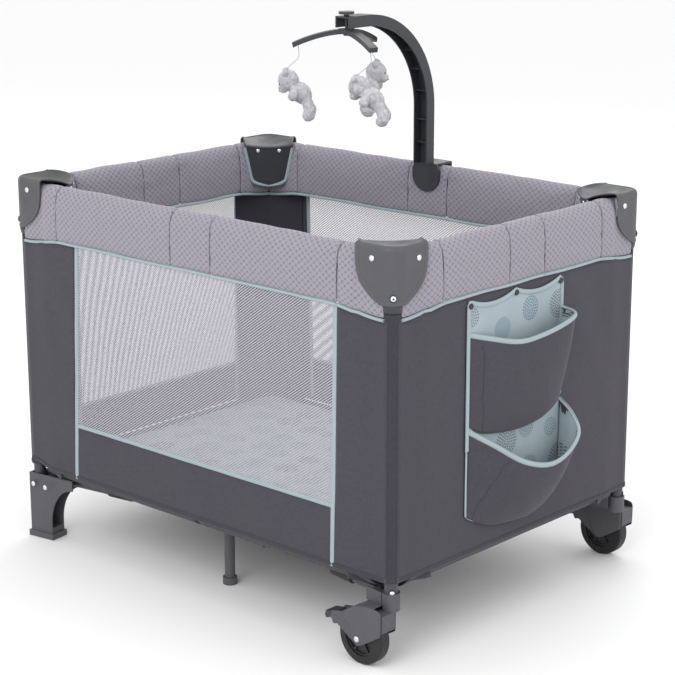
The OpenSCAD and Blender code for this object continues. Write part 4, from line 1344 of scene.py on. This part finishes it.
upper = pocket("organizer_upper_pocket",
               [(-0.160, 0.001, 0.565), (-0.120, 0.013, 0.553), (-0.050, 0.028, 0.536), (0.010, 0.038, 0.540),
                (0.066, 0.045, 0.552), (0.096, 0.041, 0.560), (0.105, 0.024, 0.564), (0.106, 0.001, 0.568)],
               [(-0.158, 0.001, 0.395), (-0.120, 0.006, 0.376), (-0.040, 0.012, 0.366), (0.030, 0.016, 0.372),
                (0.085, 0.012, 0.390), (0.105, 0.001, 0.400)], 0.62, 1.3, seam=(0.13, 0.10))
lower = pocket("organizer_lower_pocket",
               [(-0.160, 0.001, 0.391), (-0.110, 0.022, 0.358), (-0.050, 0.044, 0.318), (0.010, 0.056, 0.301),
                (0.060, 0.060, 0.312), (0.096, 0.056, 0.342), (0.107, 0.030, 0.372), (0.108, 0.001, 0.393)],
               [(-0.160, 0.001, 0.228), (-0.110, 0.004, 0.203), (-0.050, 0.006, 0.192), (0.010, 0.006, 0.190),
                (0.060, 0.004, 0.206), (0.092, 0.002, 0.232), (0.107, 0.001, 0.252)], 0.60, 6.1,
               seam=(0.04, 0.30))
# backing with its scalloped top edge
snaps = [(-0.158, 0.613), (-0.031, 0.615), (0.099, 0.614)]


def scallop(y):
    z = 0.6215
    for a, b in ((snaps[0], snaps[1]), (snaps[1], snaps[2])):
        if a[0] <= y <= b[0]:
            t = (y - a[0]) / (b[0] - a[0])
            z -= 0.0135 * math.sin(math.pi * t) ** 0.8
    if y < snaps[0][0]:
        z -= (snaps[0][0] - y) * 1.0
    if y > snaps[2][0]:
        z -= (y - snaps[2][0]) * 1.0
    return z


ys = np.linspace(-0.164, 0.107, 60)
rows = []
for y in ys:
    zl = lerp(0.232, 0.194, math.sin(math.pi * (y + 0.164) / 0.271) ** 0.7)
    rows.append([org(y, 0.0004 + 0.0009 * soft_noise((y, z, 3), (26, 14, 1), 4.9) *
                     (0.3 + 0.7 * (z > 0.40)), z) for z in np.linspace(zl, scallop(y), 60)])
backing = grid("organizer_backing", rows, M["lining"])
modify(backing, "SOLIDIFY", thickness=0.0012, offset=0.0)
apply_all(backing)
edge = [org(-0.1615, 0.0012, z) for z in np.linspace(0.352, 0.606, 30)]
edge += [org(y, 0.0012, scallop(y) - 0.0015) for y in np.linspace(-0.158, 0.103, 60)]
edge += [org(0.1055, 0.0012, z) for z in np.linspace(0.606, 0.400, 26)]
bits = [sweep("edge", edge, ribbon_section(0.0095, 0.0036), M["tape"], normal=(1, 0, 0))]
bits += upper[2] + lower[2]
for y, z in snaps:
    prof = [(0.0052, -0.001), (0.0056, 0.0006), (0.0052, 0.0016), (0.0040, 0.0020), (0.0030, 0.0016),
            (0, 0.0014)]
    bits.append(lathe("snap", prof, org(y, 0.0028, z), (1, 0, 0), M["black"], 20))
trim = join("organizer_binding", bits)
ORG = []
for o, flat, held in ((upper[0], (0.30, 0.175), "gathered"), (upper[1], (0.30, 0.175), "gathered"),
                      (lower[0], (0.31, 0.155), "gathered"), (lower[1], (0.31, 0.155), "gathered"),
                      (backing, (0.272, 0.41), "hung")):
    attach(o, "leg_front_right")
    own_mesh(o)
    ORG.append(o)
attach(trim, "leg_front_right")
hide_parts("organizer")
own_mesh(trim)

# ---------------------------------------------------------------- mobile's toys


def blob(verts, faces, at, r, axis=(0, 0, 1), stretch=1.0):
    """An egg added to a growing mesh; the remesh turns the eggs into one skin."""
    q = Vector((0, 0, 1)).rotation_difference(Vector(axis).normalized())
    n0, rings, seg = len(verts), 9, 14
    verts.append(tuple(Vector(at) + q @ Vector((0, 0, r * stretch))))
    for i in range(1, rings):
        th = math.pi * i / rings
        for j in range(seg):
            ph = 2 * math.pi * j / seg
            p = Vector((r * math.sin(th) * math.cos(ph), r * math.sin(th) * math.sin(ph),
                        r * stretch * math.cos(th)))
            verts.append(tuple(Vector(at) + q @ p))
    verts.append(tuple(Vector(at) - q @ Vector((0, 0, r * stretch))))
    last = len(verts) - 1
    for j in range(seg):
        k = (j + 1) % seg
        faces.append((n0, n0 + 1 + j, n0 + 1 + k))
        faces.append((last, n0 + 1 + (rings - 2) * seg + k, n0 + 1 + (rings - 2) * seg + j))
        for i in range(rings - 2):
            a0 = n0 + 1 + i * seg
            faces.append((a0 + j, a0 + seg + j, a0 + seg + k, a0 + k))


def toy(name, node, body, facing, lean):
    """A plain plush bear; facing is its heading, lean tips it forward as if flying."""
    lo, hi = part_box(node)
    c = (lo + hi) / 2
    top = hi.z
    head_z = top - 0.067
    turn = Matrix.Rotation(facing, 3, "Z") @ Matrix.Rotation(lean, 3, "Y")
    body_c = Vector((c.x, c.y, head_z - 0.020))

    def at(x, y, z):
        return body_c + turn @ Vector((x, y, z)) * 1.16
    v, f = [], []
    fwd, up = turn @ Vector((1, 0, 0)), turn @ Vector((0, 0, 1))
    blob(v, f, at(0.002, 0, 0.024), 0.0208, fwd, 0.98)
    blob(v, f, at(0.0150, 0, 0.0195), 0.0112, fwd, 1.10)
    blob(v, f, at(0, 0, -0.006), 0.0196, up, 1.22)
    for s in (-1, 1):
        blob(v, f, at(-0.003, s * 0.0145, 0.0375), 0.0072)
        arm = turn @ Vector((0.65, s * 0.75, -0.35)).normalized()
        for k in range(4):
            blob(v, f, at(0.002, s * 0.010, 0.006) + arm * (0.0062 * k), 0.0086 + 0.0003 * k)
        leg = turn @ Vector((0.30, s * 0.34, -0.88)).normalized()
        for k in range(5):
            blob(v, f, at(0.0, s * 0.007, -0.018) + leg * (0.0066 * k), 0.0098 + 0.0004 * k)
        blob(v, f, at(0.0, s * 0.007, -0.018) + leg * 0.0300 + fwd * 0.0045, 0.0118, fwd, 1.20)
    o = new_mesh(name, v, f, M["plush"])
    modify(o, "REMESH", mode="VOXEL", voxel_size=0.0016, use_smooth_shade=True)
    modify(o, "SMOOTH", factor=0.6, iterations=7)
    apply_all(o)
    for p in o.data.polygons:
        p.use_smooth = True
    wrinkle(o, lambda p: 0.0008 * soft_noise(p, (260, 260, 260), 1.1) +
            0.0007 * soft_noise(p, (110, 110, 110), 3.0))
    o.data.materials.clear()
    o.data.materials.append(M["plush"])
    bits = [o]
    for s in (-1, 1):
        side_dir = turn @ Vector((0.86, s * 0.44, 0.26)).normalized()
        eye = at(0.002, 0, 0.024) + side_dir * 0.0203
        bits.append(lathe("eye", [(0.0017, -0.0012), (0.0017, 0.0003), (0.0011, 0.0010), (0, 0.0013)],
                          tuple(eye), tuple(side_dir), M["black"], 12))
    nose = at(0.0150, 0, 0.0195) + fwd * 0.0121
    bits.append(lathe("nose", [(0.0019, -0.001), (0.0019, 0.0003), (0.0011, 0.0009), (0, 0.0011)],
                      tuple(nose), tuple(fwd), M["tape_dark"], 12))
    crown = at(-0.002, 0, 0.0405)
    o = join(name, bits)
    # the loop it hangs from
    loop = [tuple(crown - Vector((0, 0, 0.003))),
            (lerp(crown.x, c.x, 0.5), lerp(crown.y, c.y, 0.5), crown.z + 0.012),
            (c.x, c.y, crown.z + 0.026), (c.x, c.y, top - 0.002)]
    string = sweep(name + "_string", loop, oval(0.0013, 0.0013, 8), M["tape"], step=0.004)
    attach(o, body)
    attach(string, body)
    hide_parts(node)


toy("plush_toy_left", "toy_left", "toy_1", math.radians(222), math.radians(40))
toy("plush_toy_right", "toy_right", "toy_2", math.radians(216), math.radians(46))
toy("plush_toy_back", "toy_back", "toy_3", math.radians(36), math.radians(20))

# ---------------------------------------------------------------- small fittings

# rivets on the middle legs, feet and posts
for key, sy in (("front", -1), ("back", 1)):
    lo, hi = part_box(f"leg_bracket_{key}")
    y = lo.y if sy < 0 else hi.y
    bits = [rivet((k * 0.044, y, 0.113), (0, sy, 0), washer=0.0068) for k in (-1, 1)]
    o = join(f"bracket_rivets_{key}", bits)
    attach(o, f"bracket_{key}")
for tag in ("front_left", "back_left"):
    sx, sy = CORNERS[tag]
    lo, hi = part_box(f"foot_{tag}")
    y = lo.y if sy < 0 else hi.y
    bits = [rivet((x, y, 0.115), (0, sy, 0)) for x in (-0.472, -0.435)]
    o = join(f"foot_rivets_{tag}", bits)
    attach(o, f"leg_{tag}")
for tag in ("front_right", "back_right"):
    sx, sy = CORNERS[tag]
    at = Vector((sx * HX, sy * HY, 0)) + Vector((sx, 0.85 * sy, 0)).normalized() * 0.0122
    o = rivet((at.x, at.y, 0.1375), (sx, 0.85 * sy, 0), r=0.0038, washer=0.0068)
    o.name = f"post_rivet_{tag}"
    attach(o, f"leg_{tag}")

# outline of the wheel fender seen from the side, in mm from the axle, clockwise from its lower tip
CHEEK = [(-8, -5), (-4, -9.5), (1, -11.5), (8, -10), (26, 1), (47, 14.5), (53, 20), (54, 40), (53, 60),
         (44, 65), (31, 65.5), (18, 65), (4, 62.5), (-8, 58.5), (-19, 51.5), (-27, 44), (-31.5, 36),
         (-30, 29.5), (-23, 26), (-17, 19), (-12.5, 8)]


def cheek(tyre, outline, y, out):
    """Flat side of a fender at y, facing out (1 or -1 along Y), with a chamfered edge."""
    ring = [(tyre.x + x, y + out * 0.0012, tyre.z + z) for x, z, _ in outline]
    inset = [(tyre.x + 0.012 + (x - 0.012) * 0.94, y + out * 0.0022, tyre.z + 0.026 + (z - 0.026) * 0.945)
             for x, z, _ in outline]
    back = [(px, y + out * 0.0001, pz) for px, _, pz in ring]
    m = len(ring)
    faces = [[k, (k + 1) % m, m + (k + 1) % m, m + k] for k in range(m)]
    faces += [[m + k, m + (k + 1) % m, 2 * m + (k + 1) % m, 2 * m + k] for k in range(m)]
    faces += [list(range(2 * m, 3 * m))]
    plate = new_mesh("cheek", back + ring + inset, faces, M["grey"], smooth=False)
    merge(plate, 1e-6)
    return plate


def fender_skin(tyre, outline, y_low, y_high):
    """Curved top of a fender, from one cheek to the other."""
    top_line = [p for p in outline if p[1] > 0.034 and p[0] < 0.036]
    top_line = sorted(top_line, key=lambda p: p[0] + (p[1] < 0.05) * -0.1 + p[1] * (p[0] < -0.02) * 0.5)
    rows = [[(tyre.x + x, lerp(y_low, y_high, t), tyre.z + z - 0.0010 - 0.0030 * (2 * t - 1) ** 6)
             for t in np.linspace(0, 1, 13)] for x, z, _ in top_line]
    skin = grid("fender", rows, M["grey"])
    modify(skin, "SOLIDIFY", thickness=0.0020, offset=0.0)
    apply_all(skin)
    return skin


for key, sy in (("front", -1), ("back", 1)):
    tyre = mid(f"tyre_{key}")
    lo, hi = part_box(f"caster_housing_{key}")
    y_out = lo.y if sy < 0 else hi.y
    y_in = tyre.y - (y_out - tyre.y)
    outline = smooth_path([(x / 1000, z / 1000, 0) for x, z in CHEEK + CHEEK[:1]], 0.004)[:-1]
    bits = [cheek(tyre, outline, y_out, sy), cheek(tyre, outline, y_in, -sy),
            fender_skin(tyre, outline, *sorted((y_in, y_out))),
            rivet((tyre.x - 0.0005, y_out + sy * 0.0020, tyre.z), (0, sy, 0), r=0.0044)]
    o = join(f"wheel_fender_{key}", bits)
    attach(o, f"leg_{key}_right")

# rubber sleeves and hook clips on the long base tubes


def tube_line(front, left, s):
    """Point on a base tube's centreline, s from 0 at the middle leg to 1 at the post."""
    sx, sy = (-1 if left else 1), (-1 if front else 1)
    a = Vector((sx * 0.042, sy * 0.257, BASE_Z))
    b = Vector((sx * (HX - 0.032), sy * (HY - 0.014), BASE_Z))
    return a.lerp(b, s)


for front in (True, False):
    for left in (True, False):
        f, l = "front" if front else "back", "left" if left else "right"
        p0, p1 = tube_line(front, left, 0), tube_line(front, left, 1)
        d = (p1 - p0).normalized()
        s = 0.57 if left else 0.74
        mid_p = p0.lerp(p1, s)
        prof = [(0.0092, -0.030), (0.0117, -0.029), (0.0122, -0.025), (0.0122, 0.025), (0.0117, 0.029),
                (0.0092, 0.030)]
        o = lathe(f"rubber_sleeve_{f}_{l}", prof, tuple(mid_p), tuple(d), M["rubber"], 28)
        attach(o, f"tube_{f}_{l}")
        at = p0.lerp(p1, 0.13 if left else 0.19)
        saddle = lathe("saddle", [(0.0092, -0.009), (0.0113, -0.0085), (0.0117, -0.006), (0.0117, 0.006),
                                  (0.0113, 0.0085), (0.0092, 0.009)], tuple(at), tuple(d), M["grey"], 28)
        out = Vector((0, -1 if front else 1, 0))
        hook = [at + out * 0.011 + Vector((0, 0, 0.004)), at + out * 0.017 + Vector((0, 0, 0.001)),
                at + out * 0.019 - Vector((0, 0, 0.006)), at + out * 0.0165 - Vector((0, 0, 0.012)),
                at + out * 0.011 - Vector((0, 0, 0.0125))]
        hook = sweep("hook", [tuple(p) for p in hook], oval(0.0075, 0.0028, 10), M["black"],
                     normal=tuple(d), step=0.003)
        o = join(f"cloth_hook_{f}_{l}", [saddle, hook])
        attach(o, f"tube_{f}_{l}")

# ---------------------------------------------------------------- studio

floor_corners = [[(x, y, -0.0006) for y in (-14, 14)] for x in (-14, 14)]
floor = grid("studio_floor", floor_corners, floor_mat(), flip=True)

world = bpy.data.worlds.new("studio")
world.use_nodes = True
bg = world.node_tree.nodes["Background"]
bg.inputs["Color"].default_value = (1, 1, 1, 1)
bg.inputs["Strength"].default_value = 1.12
bpy.context.scene.world = world


def area_light(name, at, target, size, watts):
    l = bpy.data.lights.new(name, "AREA")
    l.shape, l.size, l.energy = "SQUARE", size, watts
    o = bpy.data.objects.new(name, l)
    o.location = at
    o.rotation_euler = (Vector(target) - Vector(at)).to_track_quat("-Z", "Y").to_euler()
    bpy.context.scene.collection.objects.link(o)


area_light("key", (1.2, -3.6, 3.2), (0, 0, 0.4), 2.6, 78)
area_light("fill", (3.8, 0.4, 2.2), (0, 0, 0.4), 2.4, 22)
area_light("rear", (-1.5, 3.4, 3.4), (0, 0, 0.4), 2.6, 40)

cam_data = bpy.data.cameras.new("camera")
cam_data.lens, cam_data.sensor_width = 104.43, 36.0
cam_data.clip_end = 60
cam = bpy.data.objects.new("camera", cam_data)
cam.location = (2.53935, -2.69973, 1.43108)
look = (Vector((0.041, 0.0, 0.444)) - cam.location).to_track_quat("-Z", "Y")
cam.rotation_mode = "QUATERNION"
cam.rotation_quaternion = look @ Matrix.Rotation(math.radians(-0.13), 3, "Z").to_quaternion()
bpy.context.scene.collection.objects.link(cam)
bpy.context.scene.camera = cam
bpy.context.scene.view_settings.view_transform = "Standard"
